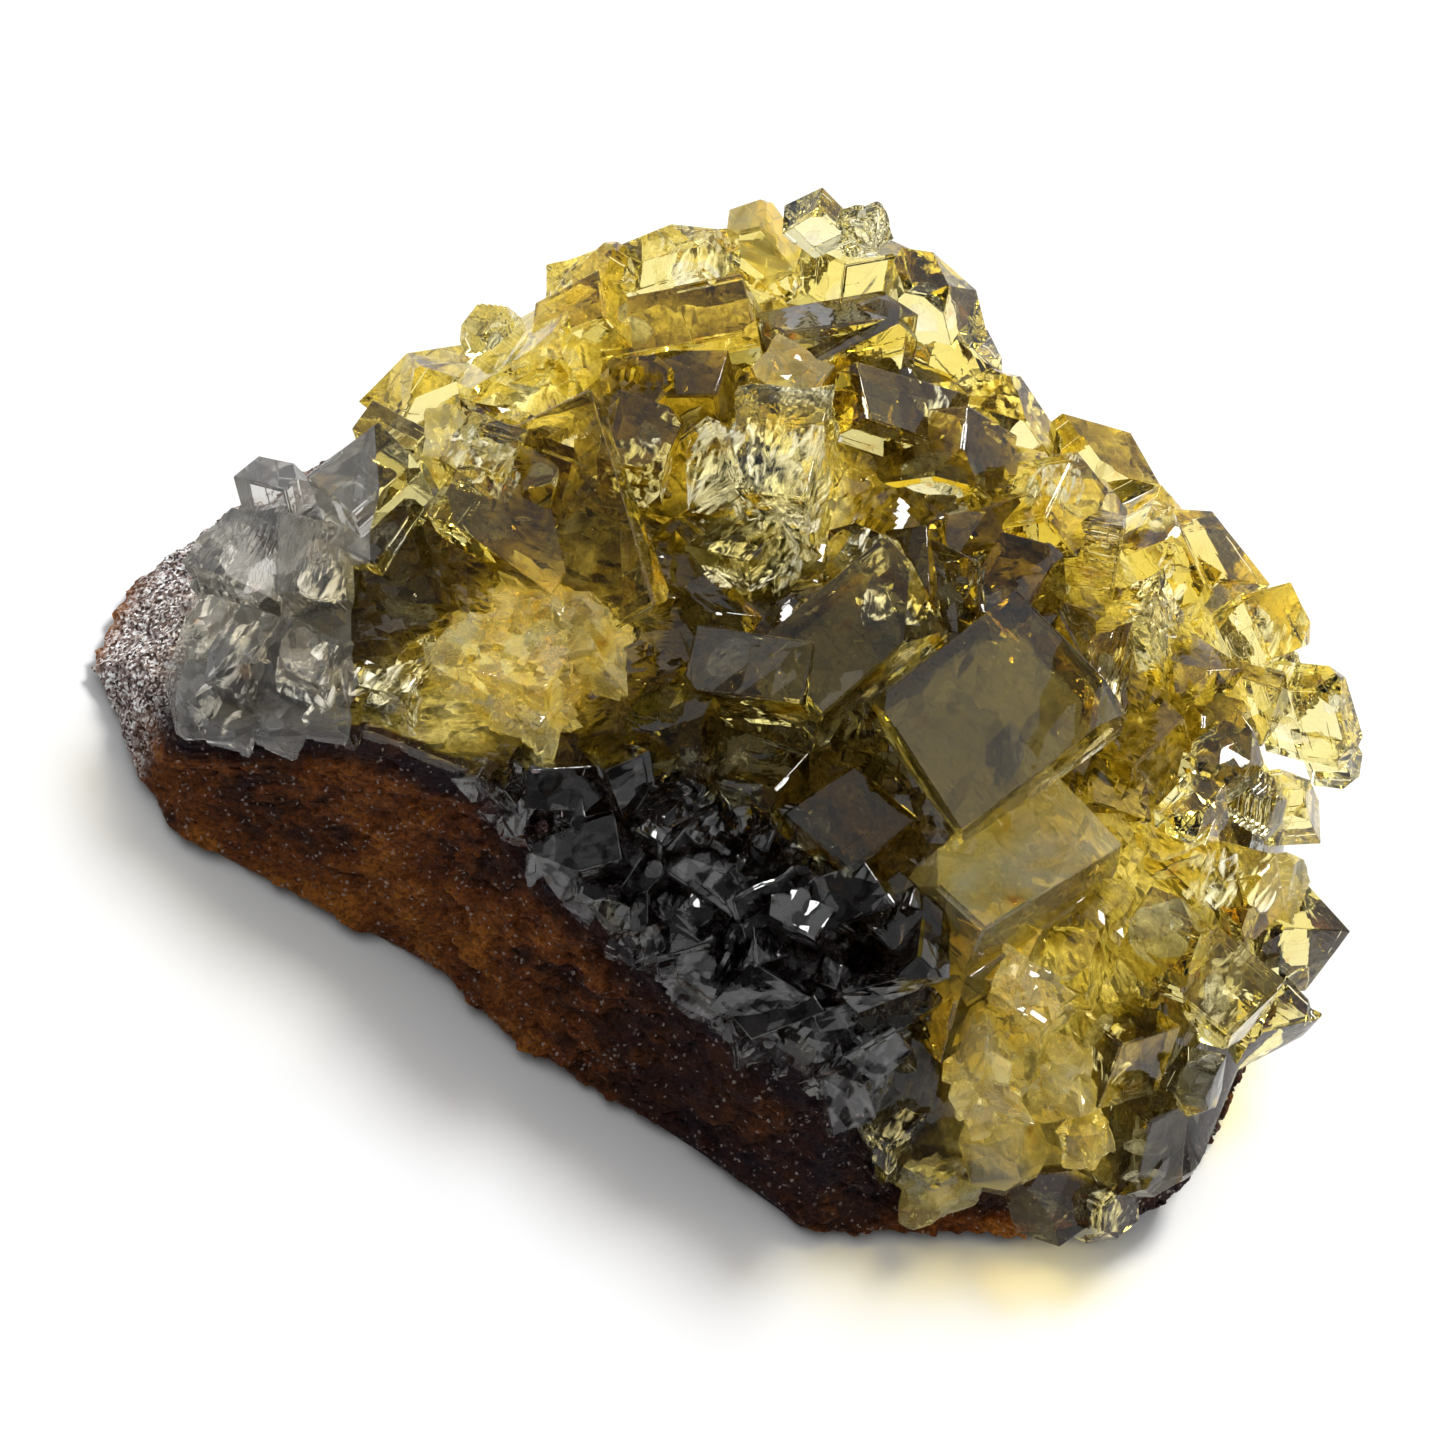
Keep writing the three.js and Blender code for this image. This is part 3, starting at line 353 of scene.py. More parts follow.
def nearest_cell(points, size):
    """The nearest scattered seed's number, and the way from it.

    Each cell of a cubic lattice holds one seed at a random place in it, and 27 cells are searched."""
    scaled = points / size
    cell = np.floor(scaled)
    nearest = np.full(points.shape[:-1], np.inf)
    number = np.zeros(points.shape[:-1])
    away = np.zeros(points.shape)
    for step in np.ndindex(3, 3, 3):
        corner = cell + np.array(step) - 1
        seed = corner + np.stack([lattice_value(corner + shift) for shift in SEED_SHIFTS], -1)
        distance = np.linalg.norm(scaled - seed, axis=-1)
        closer = distance < nearest
        number = np.where(closer, lattice_value(corner + NUMBER_SHIFT), number)
        away = np.where(closer[..., None], scaled - seed, away)
        nearest = np.where(closer, distance, nearest)
    return number, away * size


def cell_values(number):
    """Three values from -1 to 1 out of a cell's own number."""
    return [2 * np.modf(number * factor)[0] - 1 for factor in NUMBER_FACTORS]


def facets(x, y, size, level, slope):
    """Height of a broken surface of flat facets: each scattered cell has its own level and its own tilt."""
    number, away = nearest_cell(plan_points(x, y), size)
    own, tilt_x, tilt_y = cell_values(number)
    return level * own + slope * (tilt_x * away[..., 0] + tilt_y * away[..., 1])


# The main view's own axes in the plan's coordinates: right, up and depth
RISING = np.array([0, np.sin(ELEVATION), np.cos(ELEVATION)])
SIDEWAYS = np.array([1.0, 0, 0])
VIEW_RIGHT = np.cos(ROLL) * SIDEWAYS + np.sin(ROLL) * RISING
VIEW_UP = -np.sin(ROLL) * SIDEWAYS + np.cos(ROLL) * RISING
VIEW_DEPTH = np.array([0, np.cos(ELEVATION), -np.sin(ELEVATION)])
EYE = VIEW_TARGET - VIEW_DISTANCE * VIEW_DEPTH

# Search along a line of sight, in millimetres: its top and its step, how near the crust a passing line has to
# come, and how far it may rise from it again
SIGHT_TOP = 34
SIGHT_STEP = 0.25
NEAR_CRUST = 3
LEAVING_CRUST = 0.2
# Depths behind a point, along the view, at which a crystal still hides it
HIDING_DEPTHS = (0, 1.2, 2.4, 3.6)


def point_on_crust(pixel, proud):
    """Point on the line of sight through a pixel where it comes down to a height over the crust."""
    centre = FRAME_PIXELS / 2
    direction = VIEW_DEPTH * PIXELS_PER_MM * VIEW_DISTANCE
    direction = direction + VIEW_RIGHT * (pixel[0] - centre) + VIEW_UP * (centre - pixel[1])
    z = np.arange(SIGHT_TOP, 0, -SIGHT_STEP)
    points = EYE + direction * ((z - EYE[2]) / direction[2])[:, None]
    gaps = z - crust_level(points[:, 0], points[:, 1]) - proud
    closest = np.inf
    found = None
    for gap, point in zip(gaps, points):
        if gap < closest:
            closest = gap
            found = point
        if gap <= 0 or (closest < NEAR_CRUST and gap > closest + LEAVING_CRUST):
            break
    return found


def cube_axes(seen):
    """Three perpendicular edges running away from the viewer, from their directions in the view."""
    angles = np.radians(seen)
    c01, c02, c12 = (np.cos(angles[i] - angles[j]) for i, j in ((0, 1), (0, 2), (1, 2)))
    depths = np.sqrt([-c01 * c02 / c12, -c01 * c12 / c02, -c02 * c12 / c01])
    across = np.cos(angles)[:, None] * VIEW_RIGHT + np.sin(angles)[:, None] * VIEW_UP
    axes = across + depths[:, None] * VIEW_DEPTH
    return axes / np.linalg.norm(axes, axis=1)[:, None]


def make_crystal(name, corner, axes, size):
    """A block from its near corner, along three axes, with the lengths of its edges."""
    return {"name": name, "corner": corner, "axes": axes, "size": np.array(size, float)}


def named_crystals():
    """The crystals read off the photo."""
    return [
        make_crystal(name, point_on_crust(pixel, proud), cube_axes(seen), size)
        for name, pixel, proud, seen, size in CRYSTALS
    ]


def covered_by(crystal, point):
    """Whether a crystal holds a point or lies just behind it in the view."""
    along = (point + np.outer(HIDING_DEPTHS, VIEW_DEPTH) - crystal["corner"]) @ crystal["axes"].T
    return bool(np.any(np.all((along > 0) & (along < crystal["size"]), axis=1)))


def filler_crystals(named):
    """Small crystals on a shaken triangular grid, where no named crystal is and the crust is thick enough."""
    draws = random_run(7919)
    row_spacing = FILLER_SPACING * np.sin(np.pi / 3)
    fillers = []
    for row, column in np.ndindex(FILLER_ROWS, FILLER_COLUMNS):
        shift_x, shift_y, turned, spread_a, spread_b, growth, rise, *lengths = islice(draws, 10)
        x = FILLER_START[0] + FILLER_SPACING * (column + (row % 2) / 2 + FILLER_JITTER * (shift_x - 0.5))
        y = FILLER_START[1] + row_spacing * row + FILLER_SPACING * FILLER_JITTER * (shift_y - 0.5)
        distance, rock, crust = nearest_edge(x, y)
        thin = crust - rock < FILLER_THIN_CRUST and distance < FILLER_THIN_WIDTH
        corner = np.array([x, y, float(crust_level(x, y)) + lerp(*FILLER_PROUD, rise)])
        if distance < FILLER_FROM_EDGE or thin or any(covered_by(c, corner) for c in named):
            continue
        turn = 360 * turned
        seen = (turn, turn + lerp(*FILLER_SECOND_EDGE, spread_a), turn + lerp(*FILLER_THIRD_EDGE, spread_b))
        edge = lerp(*FILLER_EDGE, growth) * (1 + FILLER_LARGER_AT_BACK * share_of(FILLER_BACK, y))
        size = edge * lerp(*FILLER_SHARES, np.array(lengths))
        fillers.append(make_crystal("filler", corner, cube_axes(seen), size))
    return fillers


def weld(points, faces, grid=1e-4):
    """Points closer than the grid become one, and faces are renumbered to match."""
    keys = np.round(points / grid).astype(np.int64)
    _, first, inverse = np.unique(keys, axis=0, return_index=True, return_inverse=True)
    return points[first], inverse.reshape(-1)[faces]


def make_mesh(name, points, faces):
    """Mesh object from points in plan millimetres and a list of faces."""
    mesh = bpy.data.meshes.new(name)
    placed = (points - PLAN_CENTRE) * MM
    mesh.from_pydata(placed.tolist(), [], faces)
    mesh.validate()
    piece = bpy.data.objects.new(name, mesh)
    bpy.context.scene.collection.objects.link(piece)
    return piece


def grid_faces(rows, columns, offset=0, wrap=False):
    """Quads of a grid of points stored row by row, closed round in the columns where it wraps."""
    r, c = np.meshgrid(np.arange(rows - 1), np.arange(columns if wrap else columns - 1), indexing="ij")
    following = (c + 1) % columns
    this_row, next_row = r * columns, (r + 1) * columns
    quads = np.stack([this_row + c, this_row + following, next_row + following, next_row + c], -1)
    return quads.reshape(-1, 4) + offset


def closed_sheet(bottom, top):
    """Closed body between two grids of points, with walls round their border."""
    rows, columns, _ = top.shape
    layers = [top.reshape(-1, 3), bottom.reshape(-1, 3)]
    faces = [grid_faces(rows, columns), grid_faces(rows, columns, rows * columns)[:, ::-1]]
    count = 2 * rows * columns
    along = ((bottom[0], top[0]), (top[-1], bottom[-1]))
    across = ((top[:, 0], bottom[:, 0]), (bottom[:, -1], top[:, -1]))
    for low, high in along + across:
        layers.append(np.concatenate([low, high]))
        faces.append(grid_faces(2, len(low), count))
        count += 2 * len(low)
    return weld(np.concatenate(layers), np.concatenate(faces))


def block_between(xs, ys, lower, upper):
    """Closed block over a grid of x and y lines, between two height functions of them."""
    gx, gy = np.meshgrid(xs, ys)
    return closed_sheet(np.stack([gx, gy, lower(gx, gy)], -1), np.stack([gx, gy, upper(gx, gy)], -1))


# Shape of the crystals, in millimetres: edge wear, with its shares and the size of its changes
BEVEL = 0.13
BEVEL_LINES = (0, 0.45, 1.0)
WEAR = (0.3, 1.0)
WEAR_SIZE = 0.9
# Growth terraces: limits as shares of the half edges, ramps, room for grid lines beside them, and rise
TERRACE_LIMITS = (-0.7, 0.7)
TERRACE_RAMP = 0.04
TERRACE_ROOM = 0.12
TERRACE_RISE = (0.0, 0.14)
# Broken faces: how far broken and at what size, the share in shelves, and how far scalloped
GROWN_FACES = {"broken": 0, "broken_size": 1.0, "shelved": 0, "scalloped": 0}
LUMPY_FACES = {"broken": 0.45, "broken_size": 2.6, "shelved": 0, "scalloped": 0.85}
HACKLY_FACES = {"broken": 0.5, "broken_size": 1.5, "shelved": 0.7, "scalloped": 0}
CHIPPED_FACES = {"broken": 0.07, "broken_size": 1.2, "shelved": 0.6, "scalloped": 0}
HACKLY_FILLERS = 0.25
SHELVES = 5
BROKEN_MIDDLE = 0.35
SCALLOP_SIZE = 1.7
SCALLOP_LEVEL = 0.25
SCALLOP_TILT = 0.5
STRIA_PITCH = 0.42
STRIA_RISE = 0.13
STRIA_WANDER = 1.5
# Grid lines of a crystal's faces: lines a millimetre for each kind, fewest and most, and lines a stria
GROWN_LINES = 0.5
LUMPY_LINES = 3.0
HACKLY_LINES = 1.7
FACE_LINES = (2, 22)
STRIA_LINES = 4
SMALLEST_EDGE = 1.2
# A block's eight corners, and how far they are moved, as shares of its edges
CORNER_BITS = np.array([[k & 1, (k >> 1) & 1, k >> 2] for k in range(8)]) == 1
SKEW_NAMED = 0.07
SKEW_BROKEN = 0.16
SKEW_FILLER = 0.2
# Chips off a crystal's corners: their share, depth in shares of the smallest edge, and reach over the depth
CHIPPED_CORNERS = ((0, 0, 0), (1, 0, 0), (0, 1, 0), (0, 0, 1))
CHIPPED_SHARE = 0.5
CHIP_DEPTH = (0.1, 0.38)
CHIP_REACH = 4.5
CHIP_SEGMENTS = (1, 4, 4)
# Direction that no normal lies along, for turning the frames of cracks, chips and shards
ASIDE = (0.3, 0.5, 0.81)
# Cracks and white fractures: how many cracks a broken crystal has, places and radii as shares of its edges,
# thickness and waves in millimetres, and the direction of the normal with how far cleavage turns it
CRACKS_BROKEN = 3
CRACK = {"spot": (0.15, 0.75), "reach": (0.2, 0.48), "thickness": 0.035, "wave": 0.14,
         "normal": 0, "turned": 1}
FRACTURE_NORMAL = np.array([0.05, -0.1, 1.0])
FRACTURE = {"spot": (0.1, 0.8), "reach": (0.2, 0.5), "thickness": 0.04, "wave": 0.3,
            "normal": FRACTURE_NORMAL, "turned": 0.4}
# Shape of a lens: its rings as shares of the radius, the side each is on, its corners and its wandering rim
LENS_SHARES = np.array([0.6, 0.97, 1.0, 0.97, 0.6])
LENS_SIDES = np.array([1, 1, 0, -1, -1])
LENS_CORNERS = 9
LENS_RIM = (0.65, 1.35)
LENS_NOISE = 1.6
# Seams behind the larger crystals: share of the face, thickness in the middle and at the rim, how far the rim
# wanders and the sheet waves, and the size of those waves
SEAM_SMALLEST_EDGE = 4.6
SEAM_REACH = 0.86
SEAM_WIDTH = 0.05
SEAM_RIM = 0.012
SEAM_WANDER = 0.35
SEAM_WAVE = 0.1
SEAM_NOISE = 1.8


def crystal_points(crystal):
    """Block with worn edges, growth terraces and broken faces: six grids welded into one closed surface.

    A grid point q on the box is pulled in to core + r * unit(q - core), where core is q limited to the box
    less r, and r changes along the edges with smooth noise. A terrace adds its rise along the face where
    both of the face's coordinates lie under its limits. Broken faces add noise away from the middle,
    scalloped ones the levels and tilts of scattered cells, and striated ones a saw wave along one axis.
    Last, each of the block's eight corners is moved, and the points between take shares of those moves."""
    half = np.round(crystal["size"] / 2, 4)
    rounding = BEVEL * np.array(BEVEL_LINES)
    lines = []
    for axis in range(3):
        limits = crystal["terrace"][axis] * half[axis] + np.array([0, TERRACE_RAMP])
        inner = np.linspace(-1, 1, crystal["segments"][axis] + 1)[1:-1] * (half[axis] - BEVEL)
        inner = inner[np.abs(inner[:, None] - limits).min(1) > TERRACE_ROOM]
        ends = half[axis] - rounding
        lines.append(np.unique(np.round(np.concatenate([-ends, ends, limits, inner]), 4)))
    points = []
    faces = []
    count = 0
    for axis in range(3):
        a, b = (axis + 1) % 3, (axis + 2) % 3
        for side in (-1, 1):
            u, v = np.meshgrid(lines[a], lines[b], indexing="ij")
            q = np.zeros(u.shape + (3,))
            q[..., a], q[..., b], q[..., axis] = u, v, side * half[axis]
            place = q + crystal["corner"]
            radius = BEVEL * lerp(*WEAR, smooth_noise(place, WEAR_SIZE))[..., None]
            core = np.clip(q, -(half - radius), half - radius)
            away = q - core
            p = core + radius * away / np.maximum(np.linalg.norm(away, axis=-1), 1e-9)[..., None]
            inside = True
            for axis_lines, along in ((u, a), (v, b)):
                inside &= axis_lines < crystal["terrace"][along] * half[along] + 1e-3
                inside &= axis_lines > BEVEL - half[along] - 1e-3
            p[..., axis] += side * crystal["rise"][axis] * inside
            outward = q / half ** 2
            outward /= np.linalg.norm(outward, axis=-1)[..., None]
            if crystal["broken"]:
                noise = layered_noise(place, crystal["broken_size"], 3)
                shelves = np.round(noise * SHELVES) / SHELVES
                height = lerp(noise, shelves, crystal["shelved"]) - BROKEN_MIDDLE
                p += outward * (crystal["broken"] * height)[..., None]
            if crystal["scalloped"]:
                number, off = nearest_cell(place, SCALLOP_SIZE)
                tilts = np.stack(cell_values(number), -1)
                height = SCALLOP_LEVEL * tilts[..., 0] + SCALLOP_TILT * (tilts * off).sum(-1)
                p += outward * (crystal["scalloped"] * height)[..., None]
            if crystal["striated"] is not None:
                wander = STRIA_WANDER * smooth_noise(place, STRIA_WANDER)
                along = q[..., crystal["striated"]] / STRIA_PITCH + wander
                p += outward * (STRIA_RISE * (along - np.floor(along) - 0.5))[..., None]
            share = 0.5 + q / (2 * half)
            weights = np.stack([np.prod(np.where(bits, share, 1 - share), -1) for bits in CORNER_BITS], -1)
            p += weights @ (crystal["skew"] * crystal["size"])
            points.append(p.reshape(-1, 3))
            quads = grid_faces(*u.shape, count)
            faces.append(quads if side < 0 else quads[:, ::-1])
            count += u.size
    local, quads = weld(np.concatenate(points), np.concatenate(faces))
    centre = crystal["corner"] + half @ crystal["axes"]
    if np.linalg.det(crystal["axes"]) < 0:
        quads = quads[:, ::-1]
    return centre + local @ crystal["axes"], quads


def give_relief(crystal, draws):
    """Adds a terrace, grid lines and broken faces to a crystal, from its name, size and random numbers."""
    chance = next(draws)
    size = crystal["size"]
    name = crystal["name"]
    crystal["terrace"] = [lerp(*TERRACE_LIMITS, next(draws)) for _ in range(3)]
    crystal["rise"] = [lerp(*TERRACE_RISE, next(draws)) for _ in range(3)]
    skew = SKEW_FILLER if name == "filler" else SKEW_BROKEN if name in LUMPY + HACKLY else SKEW_NAMED
    crystal["skew"] = skew * (2 * np.array([[next(draws) for _ in range(3)] for _ in range(8)]) - 1)
    crystal["skew"][0] *= name == "filler"
    faces, per_mm = GROWN_FACES, GROWN_LINES
    if name in LUMPY:
        faces, per_mm = LUMPY_FACES, LUMPY_LINES
    elif name in HACKLY or (name == "filler" and chance < HACKLY_FILLERS):
        faces, per_mm = HACKLY_FACES, HACKLY_LINES
    crystal.update(faces)
    crystal["segments"] = np.clip(np.round(size * per_mm), *FACE_LINES).astype(int)
    crystal["striated"] = STRIATED.get(name)
    if name in STRIATED:
        crystal["segments"][STRIATED[name]] = int(size[STRIATED[name]] / STRIA_PITCH * STRIA_LINES)
    return crystal


def grow_crystals(crystals, seed):
    """One closed mesh for each crystal, with its own relief and its own chips cut off."""
    draws = random_run(seed)
    grown = []
    for number, crystal in enumerate(crystals):
        points, quads = crystal_points(give_relief(crystal, draws))
        piece = make_mesh(f"crystal_{number}", points, quads.tolist())
        chips = make_chips(crystal, draws)
        grown.append(boolean(piece, chips, "DIFFERENCE") if chips else piece)
    return grown


def frame_from(normal, turn):
    """Three perpendicular unit vectors, the first along the normal, the others turned round it."""
    normal = normal / np.linalg.norm(normal)
    side = np.cross(normal, ASIDE)
    side /= np.linalg.norm(side)
    other = np.cross(normal, side)
    across = np.cos(turn) * side + np.sin(turn) * other
    along = np.cos(turn) * other - np.sin(turn) * side
    return np.array([normal, across, along])


def crack_rings(centre, axes, radius, thickness, bend):
    """Thin wavy lens: rings round its middle, out to the rim on the upper side and back on the lower one.

    At a share r of the radius, the upper and lower sides stand thickness * sqrt(1 - r * r) / 2 off a middle
    surface that waves with smooth noise, and the rim wanders in and out with noise."""
    angles = np.linspace(0, 2 * np.pi, LENS_CORNERS, endpoint=False)
    ring = np.stack([np.cos(angles), np.sin(angles), np.zeros(len(angles))], -1)
    wander = lerp(*LENS_RIM, smooth_noise(ring * 1.3 + centre, 0.8))
    reach = radius * wander[None] * LENS_SHARES[:, None]
    flat = reach[..., None] * (ring[:, 0, None] * axes[1] + ring[:, 1, None] * axes[2])
    lift = LENS_SIDES * thickness * np.sqrt(1 - np.minimum(LENS_SHARES, 0.999) ** 2) / 2
    wave = bend * layered_noise(flat + centre, LENS_NOISE, 2)
    return centre + flat + (lift[:, None] + wave)[..., None] * axes[0]


def lens_in(crystal, draws, kind):
    """Rings of a crack or a fracture at a random spot in a crystal.

    Fluorite cleaves along the planes that cut a cube's corners off, so the normal is turned by a sum of the
    three edge directions with random signs."""
    signs = np.array([1 if next(draws) < 0.5 else -1 for _ in range(3)])
    spot = np.array([lerp(*kind["spot"], next(draws)) for _ in range(3)]) * crystal["size"]
    axes = frame_from(kind["normal"] + kind["turned"] * signs @ crystal["axes"], 6 * next(draws))
    radius = min(crystal["size"]) * lerp(*kind["reach"], next(draws))
    centre = crystal["corner"] + spot @ crystal["axes"]
    return crack_rings(centre, axes, radius, kind["thickness"], kind["wave"])


def make_cracks(crystals, seed):
    """Cracks along the cleavage directions of each crystal."""
    draws = random_run(seed)
    cracks = []
    for crystal in crystals:
        count = CRACKS_BROKEN if crystal["name"] in HACKLY + LUMPY else int(crystal["name"] != "filler")
        for _ in range(count):
            cracks.append(lens_in(crystal, draws, CRACK))
    return [make_ring_mesh(f"crack_{number}", rings) for number, rings in enumerate(cracks)]


def grow_fractures(crystals, crust):
    """White fractures inside the clear crystals: wavy lenses turned to the main light, cut to the crust."""
    draws = random_run(4451)
    lenses = []
    for crystal in crystals:
        for _ in range(FRACTURES.get(crystal["name"], 0)):
            lenses.append(make_ring_mesh(f"fracture_{len(lenses)}", lens_in(crystal, draws, FRACTURE)))
    fractures = boolean(lenses[0], lenses[1:], "UNION")
    fractures = boolean(fractures, [duplicate(crust, "inside")], "INTERSECT")
    fractures.name = "white_fractures_inside"
    return fractures


def make_seams(crystals):
    """Thin gaps where the hidden faces of crystals meet their neighbours, so that light turns back there.

    A seam is a closed sheet over most of a face: a grid of points, moved by smooth noise along the face's
    normal, with its thickness falling to almost nothing at a wandering rim."""
    seams = []
    steps = np.linspace(-1, 1, 4)
    u, v = np.meshgrid(steps, steps, indexing="ij")
    thickness = np.where((np.abs(u) == 1) | (np.abs(v) == 1), SEAM_RIM, SEAM_WIDTH)
    for number, crystal in enumerate(crystals):
        if min(crystal["size"]) <= SEAM_SMALLEST_EDGE or crystal["name"] == "filler":
            continue
        for face in range(3):
            a, b = (face + 1) % 3, (face + 2) % 3
            local = np.zeros(u.shape + (3,))
            local[..., face] = crystal["size"][face]
            local[..., a] = crystal["size"][a] * (0.5 + SEAM_REACH * u / 2)
            local[..., b] = crystal["size"][b] * (0.5 + SEAM_REACH * v / 2)
            wander = layered_noise(local + crystal["corner"], SEAM_NOISE, 2)
            local[..., a] += SEAM_WANDER * wander * np.abs(v)
            local[..., b] += SEAM_WANDER * wander * np.abs(u)
            local[..., face] += SEAM_WAVE * wander
            lower, upper = local.copy(), local.copy()
            lower[..., face] -= thickness / 2
            upper[..., face] += thickness / 2
            points, quads = closed_sheet(lower, upper)
            if np.linalg.det(crystal["axes"]) < 0:
                quads = quads[:, ::-1]
            points = crystal["corner"] + points @ crystal["axes"]
            seams.append(make_mesh(f"seam_{number}_{face}", points, quads.tolist()))
    return seams


def make_chips(crystal, draws):
    """Rough blocks that take corners of a crystal off along cleavage planes, which lie across its corners."""
    chips = []
    for corner in CHIPPED_CORNERS:
        chance, depth, turn = (next(draws) for _ in range(3))
        if chance > CHIPPED_SHARE:
            continue
        corner = np.array(corner)
        axes = frame_from((1 - 2 * corner) @ crystal["axes"], 6 * turn)
        cut = min(crystal["size"]) * lerp(*CHIP_DEPTH, depth)
        reach = CHIP_REACH * cut
        start = crystal["corner"] + (corner * crystal["size"]) @ crystal["axes"]
        start = start + axes[0] * (cut - reach) - (axes[1] + axes[2]) * reach / 2
        block = make_crystal("chip", start, axes, np.full(3, reach))
        block.update(CHIPPED_FACES, terrace=[0, 0, 0], rise=[0, 0, 0], striated=None)
        block.update(segments=np.array(CHIP_SEGMENTS), skew=np.zeros((8, 3)))
        points, quads = crystal_points(block)
        chips.append(make_mesh(f"chip_{len(chips)}", points, quads.tolist()))
    return chips


def boolean(piece, operands, operation):
    """The piece joined with, cut to or cut by a group of closed meshes; the operands are removed."""
    group = bpy.data.collections.new("operands")
    bpy.context.scene.collection.children.link(group)
    for operand in operands:
        for owner in operand.users_collection:
            owner.objects.unlink(operand)
        group.objects.link(operand)
    modifier = piece.modifiers.new("boolean", "BOOLEAN")
    modifier.operation = operation
    modifier.operand_type = "COLLECTION"
    modifier.collection = group
    modifier.solver = "MANIFOLD"
    graph = bpy.context.evaluated_depsgraph_get()
    result = bpy.data.meshes.new_from_object(piece.evaluated_get(graph))
    piece.modifiers.clear()
    old = piece.data
    piece.data = result
    bpy.data.meshes.remove(old)
    for operand in operands:
        bpy.data.objects.remove(operand)
    bpy.data.collections.remove(group)
    return piece


def duplicate(piece, name):
    """A copy of a piece with its own mesh."""
    copy = bpy.data.objects.new(name, piece.data.copy())
    bpy.context.scene.collection.objects.link(copy)
    return copy


def plain_block(name, corner, axes, size):
    """Closed box from one corner along three right-handed axes."""
    points = corner + (CORNER_BITS * size) @ axes
    quads = np.array([(0, 2, 3, 1), (4, 5, 7, 6), (0, 1, 5, 4), (2, 6, 7, 3), (0, 4, 6, 2), (1, 3, 7, 5)])
    return make_mesh(name, points, quads.tolist())


def half_space(name, direction):
    """Large box on one side of the face between the two kinds of crystal."""
    length = np.hypot(1, COLOURLESS_SLOPE)
    normal = np.array([1, COLOURLESS_SLOPE, 0]) / length
    tangent = np.array([-normal[1], normal[0], 0])
    start = normal * COLOURLESS_OFFSET / length
    axes = np.array([normal, tangent, [0, 0, 1.0]]) * np.array([direction, direction, 1])[:, None]
    start = start - HALF_SPACE_EDGE / 2 * (axes[1] + axes[2])
    return plain_block(name, start, axes, np.full(3, HALF_SPACE_EDGE))


# Heights of the layers over each other in millimetres, the ground's rise as a share of the crust's thickness,
# the crystals' floor in the dark band as a share of its thickness, and the top of the blocks for cutting
ROCK_RAISED = 0.4
CRYSTALS_SUNK = 0.1
GROUND_RISE = 0.42
GROUND_RISES_FROM_EDGE = (1.0, 6)
FLOOR_IN_BAND = 0.6
BAND_UNDER_CRUST = 1.1
BAND_UNDER_ROCK = 0.5
ROOT_UNDER_CRUST = 1.7
ROOT_OVER_ROCK = 1.0
ROOT_INSET = 1.2
CUT_TOP = 45
# Broken surfaces: size, level and slope of the coarse and of the fine facets, and the shift of the fine ones
BAND_FACETS = ((3.2, 0.5, 0.55), (1.4, 0.2, 0.4), (7, 0))
ROOT_FACETS = ((4.6, 0.8, 0.45), (2.0, 0.25, 0.3), (3, 5))
GROUND_FACETS = (1.6, 0.22, 0.35)
GROUND_ROUGHNESS = 0.22
# Mass between the crystals: directions round it, its depth in the rock, its rings as shares of the way out
ROOT_TURNS = 280
ROOT_DEPTH = 2.5
ROOT_UNDER = np.array([0.02, 0.5, 0.995])
ROOT_OVER = np.append(np.linspace(0.995, 0.06, 66), 0.02)
# Rock: directions round it, chamfer of the base, rings of the base, chamfer, wall and top as shares of their
# way, and what the chamfer takes of the wall's relief
ROCK_TURNS = 760
CHAMFER = 1.0
BASE_RINGS = (0.2, 0.6, 0.92, 1.0)
CHAMFER_RINGS = (0.35, 0.7)
CHAMFER_RELIEF = (0.3, 0.6)
WALL_RINGS = 56
TOP_RINGS = np.linspace(0.985, 0.03, 56)
TOP_BORDER = (0.985, 0.95)
# Relief of the walls, in millimetres: size and weight of swells, roughness and ridges, size and weight of the
# grains and lumps, and the level of it all
SWELLS = (9.0, 1.2)
ROUGHNESS = (1.5, 0.6)
RIDGES = (1.3, 0.45)
GRAINS = (0.5, 0.3)
LUMPS = (1.7, 0.45)
RELIEF_LEVEL = -0.35
# Plan directions: depth stretched to the length, and steps along each side of an outline
DEPTH_STRETCH = 1.4
OUTLINE_STEPS = 80


def plan_points(x, y):
    """Points at height 0 from plan coordinates."""
    return np.stack([x, y, np.zeros_like(x)], -1)


def broken_surface(x, y, coarse, fine, shift):
    """Coarse facets with fine ones on them."""
    return facets(x, y, *coarse) + facets(x + shift[0], y + shift[1], *fine)


def band_top(x, y):
    """Top of the dark band's broken surface, or just under the rock where there is none."""
    depth = band_depth(x, y)
    top = crust_level(x, y) - BAND_UNDER_CRUST + broken_surface(x, y, *BAND_FACETS)
    return np.where(depth > 0, lerp(rock_level(x, y), top, depth), rock_level(x, y) - BAND_UNDER_ROCK)


def ground_rise(x, y):
    """How far pale crystal stands up over the rock under the crust, where the ground is bright."""
    distance, _, _ = nearest_edge(x, y)
    depth = crust_level(x, y) - rock_level(x, y)
    bright = np.clip(ground_tone(plan_points(x, y)), 0, 1)
    return bright * GROUND_RISE * depth * share_of(GROUND_RISES_FROM_EDGE, distance)


def crystal_floor(x, y):
    """Lower face of the crust: just over the ground, and inside the dark band where there is one."""
    ground = rock_level(x, y) + ground_rise(x, y)
    return np.maximum(ground, lerp(rock_level(x, y), band_top(x, y), FLOOR_IN_BAND)) + CRYSTALS_SUNK


